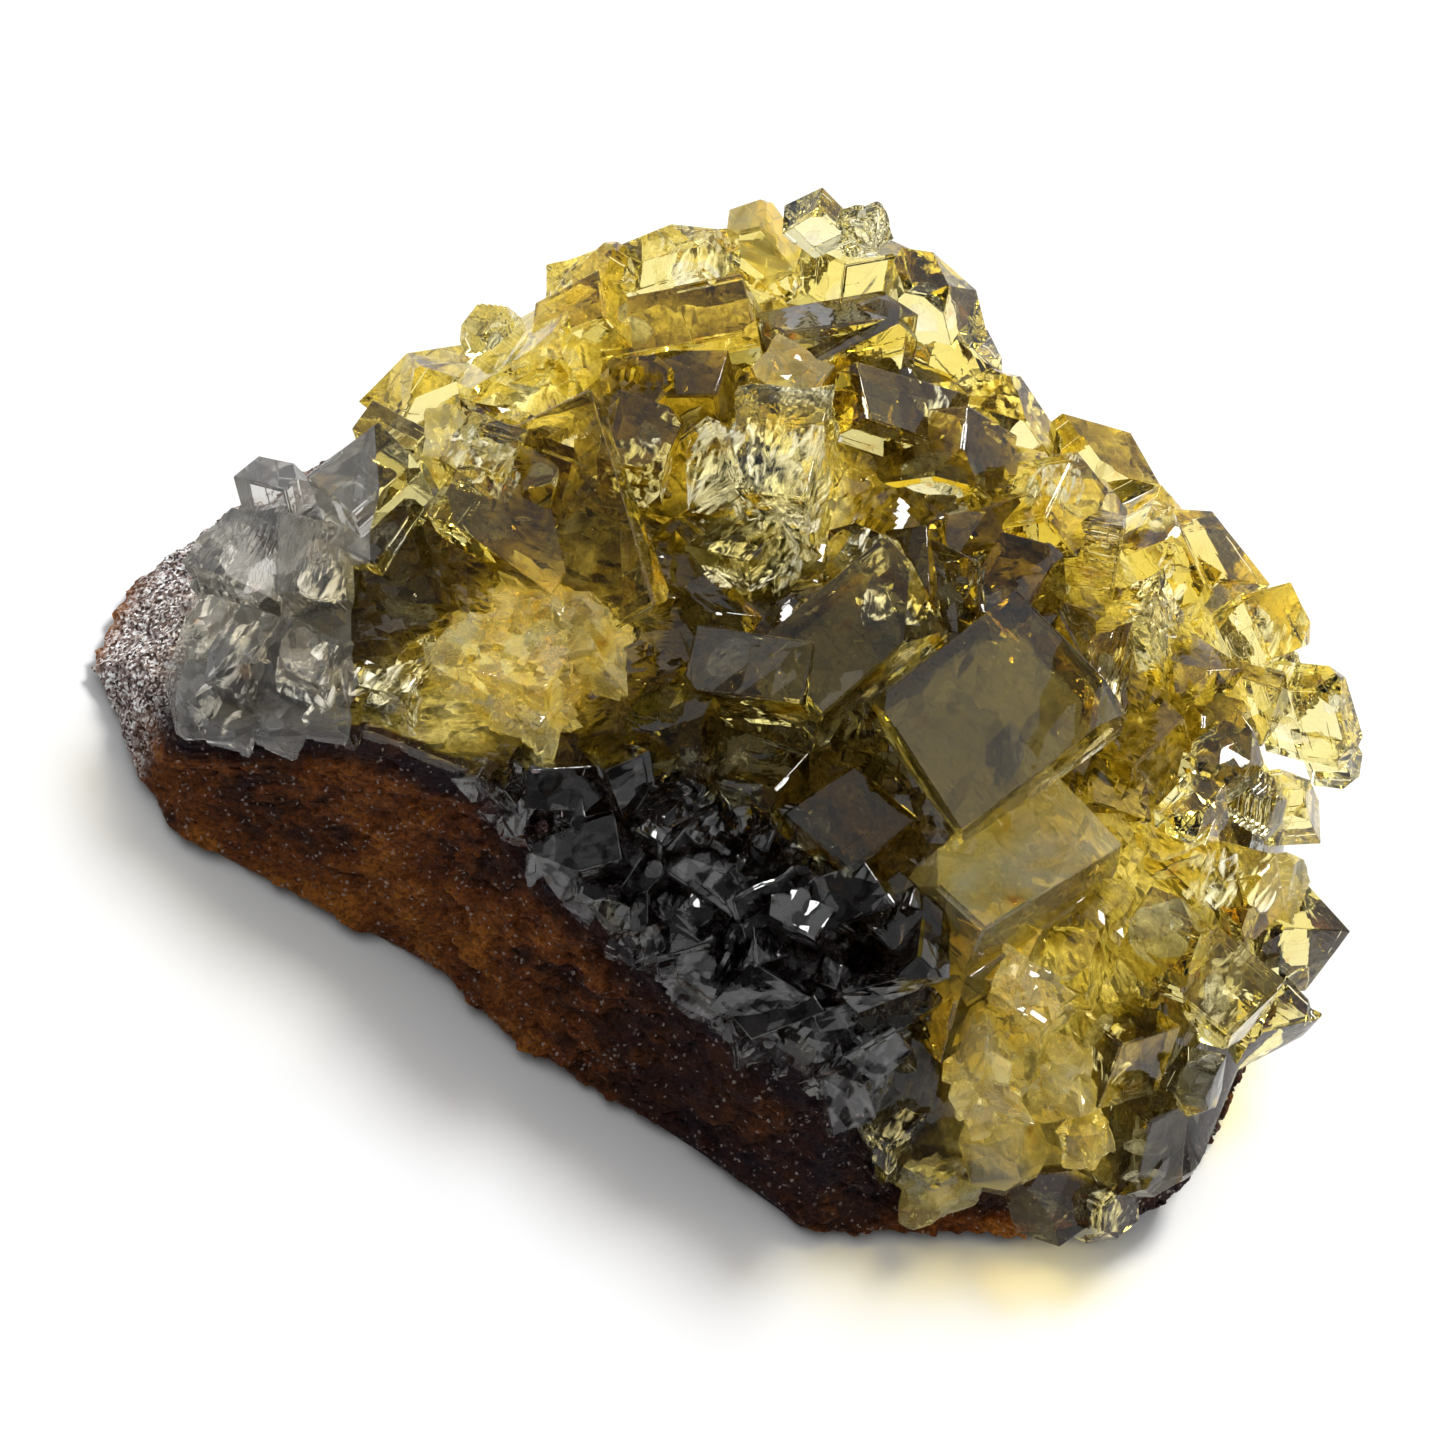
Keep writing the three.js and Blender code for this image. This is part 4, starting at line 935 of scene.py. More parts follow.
def root_top(x, y):
    """Top of the grown-together mass between the crystals: broken facets on the general level, drawn in."""
    level = crust_level(x, y, ROOT_INSET) - ROOT_UNDER_CRUST + broken_surface(x, y, *ROOT_FACETS)
    return np.maximum(level, rock_level(x, y) + ROOT_OVER_ROCK)


def close_rings(rings):
    """Closed surface through rings of points, with a fan to the middle of the first and of the last ring."""
    rows, columns, _ = rings.shape
    points = np.concatenate([rings.reshape(-1, 3), rings[:1].mean(1), rings[-1:].mean(1)])
    ring = np.arange(columns)
    following = (ring + 1) % columns
    first = np.stack([np.full(columns, rows * columns), following, ring], -1)
    last = np.stack([ring, following], -1) + (rows - 1) * columns
    last = np.concatenate([np.full((columns, 1), rows * columns + 1), last], 1)
    return points, grid_faces(rows, columns, wrap=True), np.concatenate([first, last])


def make_ring_mesh(name, rings):
    """Closed mesh through rings of points in plan millimetres, from the underside's middle out and up."""
    points, quads, triangles = close_rings(rings)
    return make_mesh(name, points, quads.tolist() + triangles.tolist())


def turn_of(x, y):
    """Direction of a plan point from the middle, with the depth stretched to the length."""
    return np.arctan2(y * DEPTH_STRETCH, x) % (2 * np.pi)


def towards(outline, turns):
    """Points of a closed outline in the given directions from the middle, by interpolation along it."""
    outline = np.asarray(outline, float)
    following = np.roll(outline, -1, axis=0)
    steps = np.linspace(0, 1, OUTLINE_STEPS, endpoint=False)[:, None]
    dense = (outline[:, None] + (following - outline)[:, None] * steps).reshape(-1, outline.shape[1])
    around = turn_of(dense[:, 0], dense[:, 1])
    order = np.argsort(around)
    columns = [np.interp(turns, around[order], column, period=2 * np.pi) for column in dense[order].T]
    return np.stack(columns, -1)


def root_rings():
    """Rings of the crystal mass inside the upper edge: its underside outwards, then its top back inwards."""
    edge = towards(UPPER_EDGE[:, :2], np.linspace(0, 2 * np.pi, ROOT_TURNS, endpoint=False))
    under_x, under_y = np.moveaxis(ROOT_UNDER[:, None, None] * edge, -1, 0)
    over_x, over_y = np.moveaxis(ROOT_OVER[:, None, None] * edge, -1, 0)
    bottom = np.stack([under_x, under_y, rock_level(under_x, under_y) - ROOT_DEPTH], -1)
    top = np.stack([over_x, over_y, root_top(over_x, over_y)], -1)
    return np.concatenate([bottom, top])


def rock_rings():
    """Rings of the rock from the middle of its underside, up the walls and over the top to the middle.

    The walls run from the foot to the upper edge at shares of the height. Layered noise, slanting ridges and
    cell grains move them out and in, and noise and facets shape the top. The last rings are the ground that
    the crystals stand on. Also gives how much each point belongs to that ground, and the wall's relief."""
    turns = np.linspace(0, 2 * np.pi, ROCK_TURNS, endpoint=False)
    foot = towards(FOOT, turns)
    edge = towards(UPPER_EDGE[:, :3], turns)
    outward = np.stack([foot[:, 0], foot[:, 1] * 1.3, np.zeros(len(turns))], -1)
    outward /= np.linalg.norm(outward, axis=1)[:, None]
    low = np.concatenate([foot, np.full((len(turns), 1), CHAMFER)], 1)
    base = np.concatenate([foot, np.zeros((len(turns), 1))], 1) - outward * CHAMFER
    rings = np.array([base * np.array([share, share, 1]) for share in BASE_RINGS])
    wall = [lerp(base, low, share) for share in CHAMFER_RINGS]
    wall = np.array(wall + [lerp(low, edge, share) for share in np.linspace(0, 1, WALL_RINGS)])
    fade = np.concatenate([CHAMFER_RELIEF, np.ones(WALL_RINGS)])
    swells = layered_noise(wall * np.array([1, 1, 1.6]), SWELLS[0], 3)
    rough = layered_noise(wall + 40, ROUGHNESS[0], 4)
    grains, _ = nearest_cell(wall, GRAINS[0])
    lumps, _ = nearest_cell(wall + 3, LUMPS[0])
    x, y, z = np.moveaxis(wall, -1, 0)
    ridges = layered_noise(np.stack([x * 0.3 + z * 0.7, y * 0.3, z - 0.8 * x], -1), RIDGES[0], 3)
    relief = SWELLS[1] * swells + ROUGHNESS[1] * rough + RIDGES[1] * ridges + RELIEF_LEVEL
    relief = relief + GRAINS[1] * (grains - 0.5) + LUMPS[1] * (lumps - 0.5)
    wall += outward * (relief * fade[:, None])[..., None]
    wall[..., 2] = np.maximum(wall[..., 2], 0.0)
    shares = TOP_RINGS[:, None]
    x, y = edge[:, 0] * shares, edge[:, 1] * shares
    height = rock_level(x, y) + ROCK_RAISED + ground_rise(x, y) + facets(x, y, *GROUND_FACETS)
    top = np.stack([x, y, height], -1)
    top[..., 2] += GROUND_ROUGHNESS * layered_noise(top, 1.2, 3)
    inner = np.broadcast_to(share_of(TOP_BORDER, shares), x.shape)
    around = np.zeros((len(BASE_RINGS), len(turns)))
    ground = np.concatenate([around, np.zeros(wall.shape[:2]), inner])
    hollows = np.concatenate([around, relief - rough, np.zeros(x.shape)])
    return np.concatenate([rings, wall, top]), ground, hollows


# Ground under the crystals: pixel, reach in millimetres, tone from -1 (purple-black) to 1 (pale). The pale
# tones are partly the pale crystal's own colour and partly painted light, the glow of light shining through
# the crystals
GROUND_TONES = [
    ((560, 810), 6, -1), ((650, 860), 7, -1), ((760, 900), 8, -1), ((850, 960), 7, -1),
    ((900, 1120), 4, -1), ((760, 680), 4, -1), ((870, 650), 4, -0.8), ((960, 700), 7, -1),
    ((1040, 740), 5, -0.9), ((1060, 660), 3, -0.5), ((880, 1060), 4, -1), ((850, 340), 5, -1),
    ((930, 330), 4, -0.8), ((400, 580), 3, -0.8), ((350, 520), 4, -0.9), ((260, 545), 4, -1),
    ((1150, 1085), 3, -0.8), ((1240, 790), 3, -0.9), ((690, 400), 3, -0.6), ((1012, 620), 3, -0.9),
    ((1060, 890), 2.5, -0.6), ((1250, 1000), 4, -0.7), ((1200, 1140), 4, -0.9), ((460, 520), 2, -0.3),
    ((610, 550), 3, -0.15), ((930, 450), 3, -0.2), ((880, 820), 3, -0.4), ((640, 620), 2, -0.1),
    ((545, 660), 5, 1), ((470, 690), 3, 0.7), ((680, 235), 6, 1), ((520, 330), 5, 1), ((530, 390), 4, 1),
    ((470, 350), 4, 1), ((760, 220), 3, 1), ((820, 205), 3, 0.8), ((1180, 550), 4, 1),
    ((1150, 620), 3, 0.7), ((1270, 640), 4, 1), ((1320, 690), 4, 0.9), ((1310, 770), 3, 0.8),
    ((1190, 880), 3, 0.6), ((1230, 880), 3, 0.7), ((1090, 810), 4.5, 1), ((1150, 850), 3, 0.9),
    ((985, 1080), 4, 1), ((1040, 1000), 3, 0.8), ((1090, 960), 3, 0.8), ((1080, 1060), 3, 0.7),
    ((960, 1160), 2, 0.6), ((1080, 1165), 2, 0.5), ((790, 470), 4.5, 1), ((850, 560), 2.5, 0.8),
    ((740, 480), 3, 0.6), ((1050, 500), 3, 0.9), ((1000, 400), 3, 0.7), ((1080, 560), 3, 0.6),
    ((230, 660), 3, -0.3), ((330, 650), 3, -0.4), ((230, 740), 3, -0.6), ((420, 690), 3, 0.5),
    ((450, 450), 3, 0.6), ((1210, 960), 3, 0.6), ((1130, 700), 3, 0.5), ((600, 340), 3, 0.3),
]
GROUND_BASE_TONE = -0.45
GROUND_BASE_WEIGHT = 0.3
GROUND_MOTTLING = 0.3
GROUND_BELOW_CRUST = -3
# Rust and violet on the walls: place in millimetres, reach, tone from -1 (violet-black) to 1 (rust)
WALL_TONES = [
    ((-36, -14, 3), 3.5, 1), ((-25, -21.5, 4), 6, 0.55), ((-17, -21.5, 7), 6, 0.35),
    ((-12, -21, 4), 5, 0.5), ((-3, -21.5, 11), 6, -0.2), ((7, -22, 5), 6, -0.6),
    ((15.5, -24, 7.5), 4.5, -0.9), ((12, -25, 2), 5, -0.5), ((26, -20, 3), 5, 0.5), ((35, -6, 3), 6, 0.3),
    ((20, 22, 4), 8, 0.5), ((-20, 22, 4), 8, -0.2), ((0, 27, 6), 7, 0.2),
]
WALL_BASE_TONE = 0.05
WALL_BASE_WEIGHT = 0.3
WALL_MOTTLING = 0.45
WALL_TOP_TONE = -0.8
WALL_TOP_DEPTH = (2.2, 0.6)


def blended_tone(points, places, reaches, tones, base, base_weight):
    """Mean of the tones weighted by bell shapes round their places, with some base tone everywhere."""
    total = base_weight
    tone = base * base_weight
    for place, reach, own in zip(places, reaches, tones):
        weight = np.exp(-((points - place) ** 2).sum(-1) / reach ** 2)
        total = total + weight
        tone = tone + weight * own
    return tone / total


def ground_tone(points):
    """How pale the ground is at points, partly painted glow of light through the crystals: the blended tones
    with mottling.
    """
    flat = np.array([1.0, 1.0, 0.0])
    places = [point_on_crust(pixel, GROUND_BELOW_CRUST) * flat for pixel, _, _ in GROUND_TONES]
    _, reaches, tones = zip(*GROUND_TONES)
    tone = blended_tone(points * flat, places, reaches, tones, GROUND_BASE_TONE, GROUND_BASE_WEIGHT)
    return np.clip(tone + GROUND_MOTTLING * layered_noise(points * flat, 3.0, 4), -1, 1)


def wall_tone(points):
    """How rusty the walls are at points: the blended tones with mottling, and dark just under the edge."""
    places, reaches, tones = zip(*WALL_TONES)
    tone = blended_tone(points, np.array(places), reaches, tones, WALL_BASE_TONE, WALL_BASE_WEIGHT)
    _, rock, _ = nearest_edge(points[..., 0], points[..., 1])
    near_top = share_of(WALL_TOP_DEPTH, rock - points[..., 2])
    mottling = WALL_MOTTLING * layered_noise(points, 5.0, 5)
    return np.clip(lerp(tone, WALL_TOP_TONE, near_top) + mottling, -1, 1)


def new_material(name):
    """A node material with its nodes, links and Principled shader."""
    material = bpy.data.materials.new(name)
    material.use_nodes = True
    nodes = material.node_tree.nodes
    return material, nodes, material.node_tree.links, nodes["Principled BSDF"]


def add_node(material, kind, **inputs):
    """Adds a shader node, and gives its inputs plain values or links from other nodes' outputs."""
    return give_inputs(material, material.node_tree.nodes.new(kind), inputs)


def add_group(material, group, **inputs):
    """Places a node group in a material with its own values."""
    node = material.node_tree.nodes.new("ShaderNodeGroup")
    node.node_tree = group
    return give_inputs(material, node, inputs)


def give_inputs(material, node, inputs):
    """Sets a node's inputs to plain values, or links them to other nodes' outputs."""
    for name, value in inputs.items():
        socket = node.inputs[name.replace("_", " ")]
        if isinstance(value, bpy.types.NodeSocket):
            material.node_tree.links.new(value, socket)
        else:
            socket.default_value = value
    return node


def place_in(material):
    """Object coordinates."""
    return add_node(material, "ShaderNodeTexCoord").outputs["Object"]


def noise_in(material, place, scale, detail=5.0, distortion=0.0):
    """Noise over a place, from 0 to 1."""
    inputs = {"Vector": place, "Scale": scale, "Detail": detail, "Distortion": distortion}
    return add_node(material, "ShaderNodeTexNoise", **inputs).outputs["Fac"]


def attribute_in(material, name):
    """One of the mesh's own values."""
    node = add_node(material, "ShaderNodeAttribute")
    node.attribute_name = name
    return node.outputs["Fac"]


def ramp_in(material, value, *stops):
    """Colour ramp through stops of position and colour."""
    node = add_node(material, "ShaderNodeValToRGB", Fac=value)
    for number, (position, colour) in enumerate(stops):
        element = node.color_ramp.elements[number] if number < 2 else node.color_ramp.elements.new(position)
        element.position = position
        element.color = (*colour, 1)
    return node.outputs["Color"]


def mix_in(material, share, a, b, blend="MIX"):
    """Colour mix of a and b by a share, which may be a plain number."""
    node = material.node_tree.nodes.new("ShaderNodeMix")
    node.data_type = "RGBA"
    node.blend_type = blend
    factor, first, second = (s for s in node.inputs if s.enabled)
    for value, socket in ((share, factor), (a, first), (b, second)):
        if isinstance(value, bpy.types.NodeSocket):
            material.node_tree.links.new(value, socket)
        else:
            socket.default_value = value
    return next(s for s in node.outputs if s.enabled)


def span_in(material, value, low, high, start, end):
    """The value's stretch from low to high turned into start to end, and held outside it."""
    inputs = {"From_Min": low, "From_Max": high, "To_Min": start, "To_Max": end}
    return add_node(material, "ShaderNodeMapRange", Value=value, **inputs).outputs["Result"]


def half_added(material, value, base):
    """Half of a value added to a base value."""
    node = add_node(material, "ShaderNodeMath")
    node.operation = "MULTIPLY_ADD"
    node.inputs[1].default_value = 0.5
    material.node_tree.links.new(value, node.inputs[0])
    material.node_tree.links.new(base, node.inputs[2])
    return node.outputs["Value"]


def rock_material():
    """Brown rock with rust and violet parts, pale grains partly painted as sparkle, a frosted left end
    brightened with painted light, and the crystals' ground, pale in part with painted glow.
    """
    material, _, links, shader = new_material("rust_stained_rock")
    shader.inputs["Specular IOR Level"].default_value = 0.15
    place = place_in(material)
    tone = span_in(material, attribute_in(material, "tone"), -1.0, 1.0, 0.0, 1.0)
    drawn = {"Place": place, "Turn": (0, 0.75, 0), "Stretch": (0.35, 1, 1.6)}
    streaks = add_group(material, drawn_streaks, Scale=900, Distortion=0.4, **drawn).outputs["Streaks"]
    stained = ramp_in(
        material, span_in(material, half_added(material, streaks, tone), 0.1, 1.4, 0.0, 1.0),
        (0.08, (0.012, 0.006, 0.010)), (0.35, (0.032, 0.009, 0.003)), (0.55, (0.125, 0.036, 0.005)),
        (0.85, (0.32, 0.12, 0.014)),
    )
    grains = add_node(material, "ShaderNodeTexVoronoi", Vector=place, Scale=6000)
    split = add_node(material, "ShaderNodeSeparateColor", Color=grains.outputs["Color"])
    shades = ramp_in(material, split.outputs["Red"], (0.0, (0.55, 0.52, 0.55)), (0.8, (1.4, 1.35, 1.3)))
    wall = mix_in(material, 1.0, stained, shades, "MULTIPLY")
    # Pale grains, partly painted sparkle: a few cells lightened to grey-pink, the same cells where the
    # roughness is lowest
    pale_grains_and_painted_sparkle = span_in(material, split.outputs["Green"], 0.95, 1.0, 0.0, 0.6)
    wall = mix_in(material, pale_grains_and_painted_sparkle, wall, (0.42, 0.36, 0.33, 1))
    # Frosted left end: the rock's own grey-white frost, made brighter as painted light from the left, with
    # its whitest cells a painted sparkle
    frosted = ramp_in(
        material, split.outputs["Green"],
        (0.1, (0.04, 0.025, 0.022)), (0.45, (0.25, 0.18, 0.16)), (0.75, (0.6, 0.53, 0.5)),
        (0.9, (0.95, 0.95, 0.95)),
    )
    mottles = noise_in(material, place, 700, 5.0, 1.2)
    # The ground's colour from purple-black to pale, its pale end partly painted glow of light through the
    # crystals
    ground = ramp_in(
        material, span_in(material, half_added(material, mottles, tone), 0.2, 1.3, 0.0, 1.0),
        (0.10, (0.006, 0.004, 0.006)), (0.32, (0.030, 0.019, 0.008)), (0.47, (0.11, 0.085, 0.018)),
        (0.60, (0.26, 0.22, 0.075)), (0.76, (0.62, 0.57, 0.30)), (0.95, (0.94, 0.92, 0.80)),
    )
    surface = mix_in(material, attribute_in(material, "ground"), wall, ground)
    surface = mix_in(material, attribute_in(material, "frost"), surface, frosted)
    links.new(surface, shader.inputs["Base Color"])
    links.new(span_in(material, split.outputs["Green"], 0.82, 1.0, 0.7, 0.08), shader.inputs["Roughness"])
    tilt_cells(material, place, 5000, 0.7)
    return material


def new_group(name, inputs, outputs):
    """Shader node group with named sockets, its entry and its exit."""
    group = bpy.data.node_groups.new(name, "ShaderNodeTree")
    for socket, kind in inputs.items():
        group.interface.new_socket(socket, in_out="INPUT", socket_type=kind)
    for socket, kind in outputs.items():
        group.interface.new_socket(socket, in_out="OUTPUT", socket_type=kind)
    return group, group.nodes.new("NodeGroupInput").outputs, group.nodes.new("NodeGroupOutput").inputs


def cell_facets_group():
    """Height that gives each scattered cell a flat face turned its own way."""
    sockets = {"Place": "NodeSocketVector", "Scale": "NodeSocketFloat"}
    group, given, put_out = new_group("cell_facets", sockets, {"Height": "NodeSocketFloat"})
    cells = group.nodes.new("ShaderNodeTexVoronoi")
    slopes, away, height = (group.nodes.new("ShaderNodeVectorMath") for _ in range(3))
    slopes.operation = "SUBTRACT"
    away.operation = "SUBTRACT"
    height.operation = "DOT_PRODUCT"
    slopes.inputs[1].default_value = (0.5, 0.5, 0.5)
    group.links.new(given["Place"], cells.inputs["Vector"])
    group.links.new(given["Scale"], cells.inputs["Scale"])
    group.links.new(cells.outputs["Color"], slopes.inputs[0])
    group.links.new(given["Place"], away.inputs[0])
    group.links.new(cells.outputs["Position"], away.inputs[1])
    group.links.new(slopes.outputs["Vector"], height.inputs[0])
    group.links.new(away.outputs["Vector"], height.inputs[1])
    group.links.new(height.outputs["Value"], put_out["Height"])
    return group


def cloud_patches_group():
    """Slow noise for the clouds in clear fluorite, and the roughness of the frosted patches at its peaks."""
    sockets = {"Place": "NodeSocketVector", "Roughest": "NodeSocketFloat"}
    results = {"Clouds": "NodeSocketFloat", "Roughness": "NodeSocketFloat"}
    group, given, put_out = new_group("cloud_patches", sockets, results)
    noise, frost = group.nodes.new("ShaderNodeTexNoise"), group.nodes.new("ShaderNodeMapRange")
    noise.inputs["Scale"].default_value = 420
    noise.inputs["Detail"].default_value = 2.0
    frost.inputs["From Min"].default_value = 0.55
    frost.inputs["From Max"].default_value = 0.75
    frost.inputs["To Min"].default_value = 0.0
    group.links.new(given["Place"], noise.inputs["Vector"])
    group.links.new(noise.outputs["Fac"], frost.inputs["Value"])
    group.links.new(given["Roughest"], frost.inputs["To Max"])
    group.links.new(noise.outputs["Fac"], put_out["Clouds"])
    group.links.new(frost.outputs["Result"], put_out["Roughness"])
    return group


def drawn_streaks_group():
    """Noise turned and stretched into streaks."""
    sockets = dict.fromkeys(("Place", "Turn", "Stretch"), "NodeSocketVector")
    sockets.update(Scale="NodeSocketFloat", Distortion="NodeSocketFloat")
    group, given, put_out = new_group("drawn_streaks", sockets, {"Streaks": "NodeSocketFloat"})
    drawn, noise = group.nodes.new("ShaderNodeMapping"), group.nodes.new("ShaderNodeTexNoise")
    noise.inputs["Detail"].default_value = 4.0
    group.links.new(given["Place"], drawn.inputs["Vector"])
    group.links.new(given["Turn"], drawn.inputs["Rotation"])
    group.links.new(given["Stretch"], drawn.inputs["Scale"])
    group.links.new(drawn.outputs["Vector"], noise.inputs["Vector"])
    group.links.new(given["Scale"], noise.inputs["Scale"])
    group.links.new(given["Distortion"], noise.inputs["Distortion"])
    group.links.new(noise.outputs["Fac"], put_out["Streaks"])
    return group


def tilt_cells(material, place, scale, tilt):
    """Tilts the shader's normal by the cell facets at a scale."""
    height = add_group(material, cell_facets, Place=place, Scale=scale).outputs["Height"]
    bump = add_node(material, "ShaderNodeBump", Strength=1.0, Distance=tilt, Height=height)
    shader = material.node_tree.nodes["Principled BSDF"]
    material.node_tree.links.new(bump.outputs["Normal"], shader.inputs["Normal"])


def clear_crystal(
    name, tint, density, cloud=(0.92, 0.89, 0.76), roughest=0.05, body=(1, 1, 1), tilt=0.07, facet_scale=900,
    transmission=1.0,
):
    """Clear fluorite: transmission with its index, absorption of one tint, cloudy and frosted patches.

    Rays from the lamps pass through it, so that the light reaches what lies under the crystals."""
    material, nodes, links, shader = new_material(name)
    shader.inputs["IOR"].default_value = 1.434
    shader.inputs["Transmission Weight"].default_value = transmission
    place = place_in(material)
    patches = add_group(material, cloud_patches, Place=place, Roughest=roughest).outputs
    rust = (0.75, 0.38, 0.1)
    colour = ramp_in(material, patches["Clouds"], (0.22, rust), (0.31, cloud), (0.6, body))
    links.new(colour, shader.inputs["Base Color"])
    links.new(patches["Roughness"], shader.inputs["Roughness"])
    turned = {"Rotation": (0.4, 0.5, 0.3), "Scale": (1, 0.12, 1)}
    drawn = add_node(material, "ShaderNodeMapping", Vector=place, **turned)
    tilt_cells(material, drawn.outputs["Vector"], facet_scale, tilt)
    passing = add_node(material, "ShaderNodeBsdfTransparent", Color=(0.97, 0.95, 0.88, 1))
    path = add_node(material, "ShaderNodeLightPath")
    mixed = nodes.new("ShaderNodeMixShader")
    links.new(path.outputs["Is Shadow Ray"], mixed.inputs["Fac"])
    links.new(shader.outputs["BSDF"], mixed.inputs[1])
    links.new(passing.outputs["BSDF"], mixed.inputs[2])
    links.new(mixed.outputs["Shader"], nodes["Material Output"].inputs["Surface"])
    absorption = add_node(material, "ShaderNodeVolumeAbsorption", Color=(*tint, 1), Density=density)
    links.new(absorption.outputs["Volume"], nodes["Material Output"].inputs["Volume"])
    return material


def coat_patches(material):
    """Adds a coat of high index in patches of noise, for glints."""
    shader = material.node_tree.nodes["Principled BSDF"]
    patches = span_in(material, noise_in(material, place_in(material), 700, 2.0), 0.42, 0.48, 0.0, 1.0)
    material.node_tree.links.new(patches, shader.inputs["Coat Weight"])
    shader.inputs["Coat IOR"].default_value = 1.6


def fracture_material():
    """White fractures inside the crystals: bright and rough, broken up into fine streaks by their alpha."""
    material, _, links, shader = new_material("white_fractures")
    shader.inputs["Roughness"].default_value = 0.3
    drawn = {"Place": place_in(material), "Turn": (0.5, 0.3, 0.9), "Stretch": (1, 0.15, 1)}
    streaks = add_group(material, drawn_streaks, Scale=1800, Distortion=0.6, **drawn).outputs["Streaks"]
    links.new(span_in(material, streaks, 0.48, 0.66, 0.0, 0.85), shader.inputs["Alpha"])
    colour = ramp_in(material, streaks, (0.45, (0.8, 0.78, 0.66)), (0.68, (1, 1, 1)))
    links.new(colour, shader.inputs["Base Color"])
    return material


def above(xs, ys, lower):
    """Tall block over a height function, for cutting crystals off where they reach into the rock."""
    points, quads = block_between(xs, ys, lower, lambda x, y: CUT_TOP + 0 * x)
    return make_mesh("above_rock", points, quads.tolist())


def grow_crust():
    """The crust of clear crystals, the cloudy crystals on it and the fractures inside, each a closed mesh."""
    named = named_crystals()
    crystals = named + filler_crystals(named)
    grown = grow_crystals(crystals, 20117)
    clear = [piece for piece, crystal in zip(grown, crystals) if crystal["name"] not in CLOUDY]
    cloudy = [piece for piece, crystal in zip(grown, crystals) if crystal["name"] in CLOUDY]
    ground_grid = np.linspace(-42, 42, 100), np.linspace(-34, 34, 80)
    crust = boolean(make_ring_mesh("crystal_mass", root_rings()), clear, "UNION")
    crust = boolean(crust, [above(*ground_grid, crystal_floor)], "INTERSECT")
    crust = boolean(crust, make_cracks(crystals, 515) + make_seams(crystals), "DIFFERENCE")
    lumps = boolean(cloudy[0], cloudy[1:], "UNION")
    lumps = boolean(lumps, [above(*ground_grid, crystal_floor)], "INTERSECT")
    lumps = boolean(lumps, make_cracks([c for c in crystals if c["name"] in CLOUDY], 77), "DIFFERENCE")
    lumps.name = "yellow_crystals_cloudy"
    return crust, lumps, grow_fractures([c for c in crystals if c["name"] not in CLOUDY], crust)


# Small dark crystals of the band, in millimetres: how many are tried, where, their edges, shares of the edge
# and height over the band, and the share of the band that they need
SHARDS = 260
SHARDS_ALONG = (-16.5, 17.5)
SHARDS_ACROSS = (-24.5, -9)
SHARD_EDGE = (1.0, 4.2)
SHARD_SHARES = (0.5, 1.4)
SHARD_RISE = (-0.5, 0.5)
SHARD_BAND = 0.4
# Colour of the rock: how far the wall's relief changes its tone as painted shade, darker in the hollows and
# lighter on the swells, and where the left end is frosted and brightened with painted light
HOLLOW_PAINTED_SHADE = 0.8
FROST_AND_PAINTED_LIGHT_FROM = (-29.5, -32.0)
FROST_AND_PAINTED_LIGHT_TO = (-36.6, -35.2)


def grow_band():
    """The dark band on the front slope: a broken surface joined with many small dark crystals."""
    xs, ys = np.linspace(-19, 20, 156), np.linspace(-27, -5, 88)
    points, quads = block_between(xs, ys, lambda x, y: 0 * x - 5, band_top)
    band = make_mesh("dark_band_clear", points, quads.tolist())
    draws = random_run(3391)
    shards = []
    for _ in range(SHARDS):
        x, y = lerp(*SHARDS_ALONG, next(draws)), lerp(*SHARDS_ACROSS, next(draws))
        edge = lerp(*SHARD_EDGE, next(draws) ** 2)
        size = edge * lerp(*SHARD_SHARES, np.array([next(draws) for _ in range(3)]))
        size = np.maximum(size, SMALLEST_EDGE)
        normal = np.array([next(draws) - 0.5 for _ in range(3)])
        turn, rise = 6 * next(draws), lerp(*SHARD_RISE, next(draws))
        if band_depth(x, y) < SHARD_BAND:
            continue
        axes = frame_from(normal, turn)
        middle = np.array([x, y, float(band_top(np.array(x), np.array(y))) + rise])
        shards.append(make_crystal("filler", middle - size / 2 @ axes, axes, size))
    boolean(band, grow_crystals(shards, 911), "UNION")
    return boolean(band, [above(xs, ys, lambda x, y: rock_level(x, y) + CRYSTALS_SUNK)], "INTERSECT")


cell_facets = cell_facets_group()
cloud_patches = cloud_patches_group()
drawn_streaks = drawn_streaks_group()
rock_finish = rock_material()
yellow_finish = clear_crystal("yellow_fluorite", (0.93, 0.83, 0.12), 230, body=(1, 0.98, 0.88))
cloudy_finish = clear_crystal(
    "cloudy_fluorite", (0.95, 0.85, 0.2), 200, (0.93, 0.78, 0.25), 0.08, (0.98, 0.94, 0.62),
    transmission=0.86,
)
fracture_finish = fracture_material()
colourless_finish = clear_crystal(
    "colourless_fluorite", (0.82, 0.81, 0.79), 500, (0.85, 0.82, 0.8), transmission=0.92,
)
dark_finish = clear_crystal(
    "dark_fluorite", (0.42, 0.33, 0.33), 900, (0.4, 0.34, 0.35), 0.02, tilt=0.45, facet_scale=1500,
)
coat_patches(dark_finish)


def dress(piece, finish, node):
    """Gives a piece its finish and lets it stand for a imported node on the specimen's body."""
    piece.data.validate()
    piece.data.materials.clear()
    piece.data.materials.append(finish)
    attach(piece, "root")
    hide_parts(node)


crust, cloudy, fractures = grow_crust()
yellow = boolean(duplicate(crust, "yellow_crystals_clear"), [half_space("right_side", 1)], "INTERSECT")
colourless = duplicate(crust, "colourless_crystals_clear")
colourless = boolean(colourless, [half_space("left_side", -1)], "INTERSECT")
bpy.data.objects.remove(crust)
rings, ground, hollows = rock_rings()
rock = make_ring_mesh("host_rock_rough", rings)
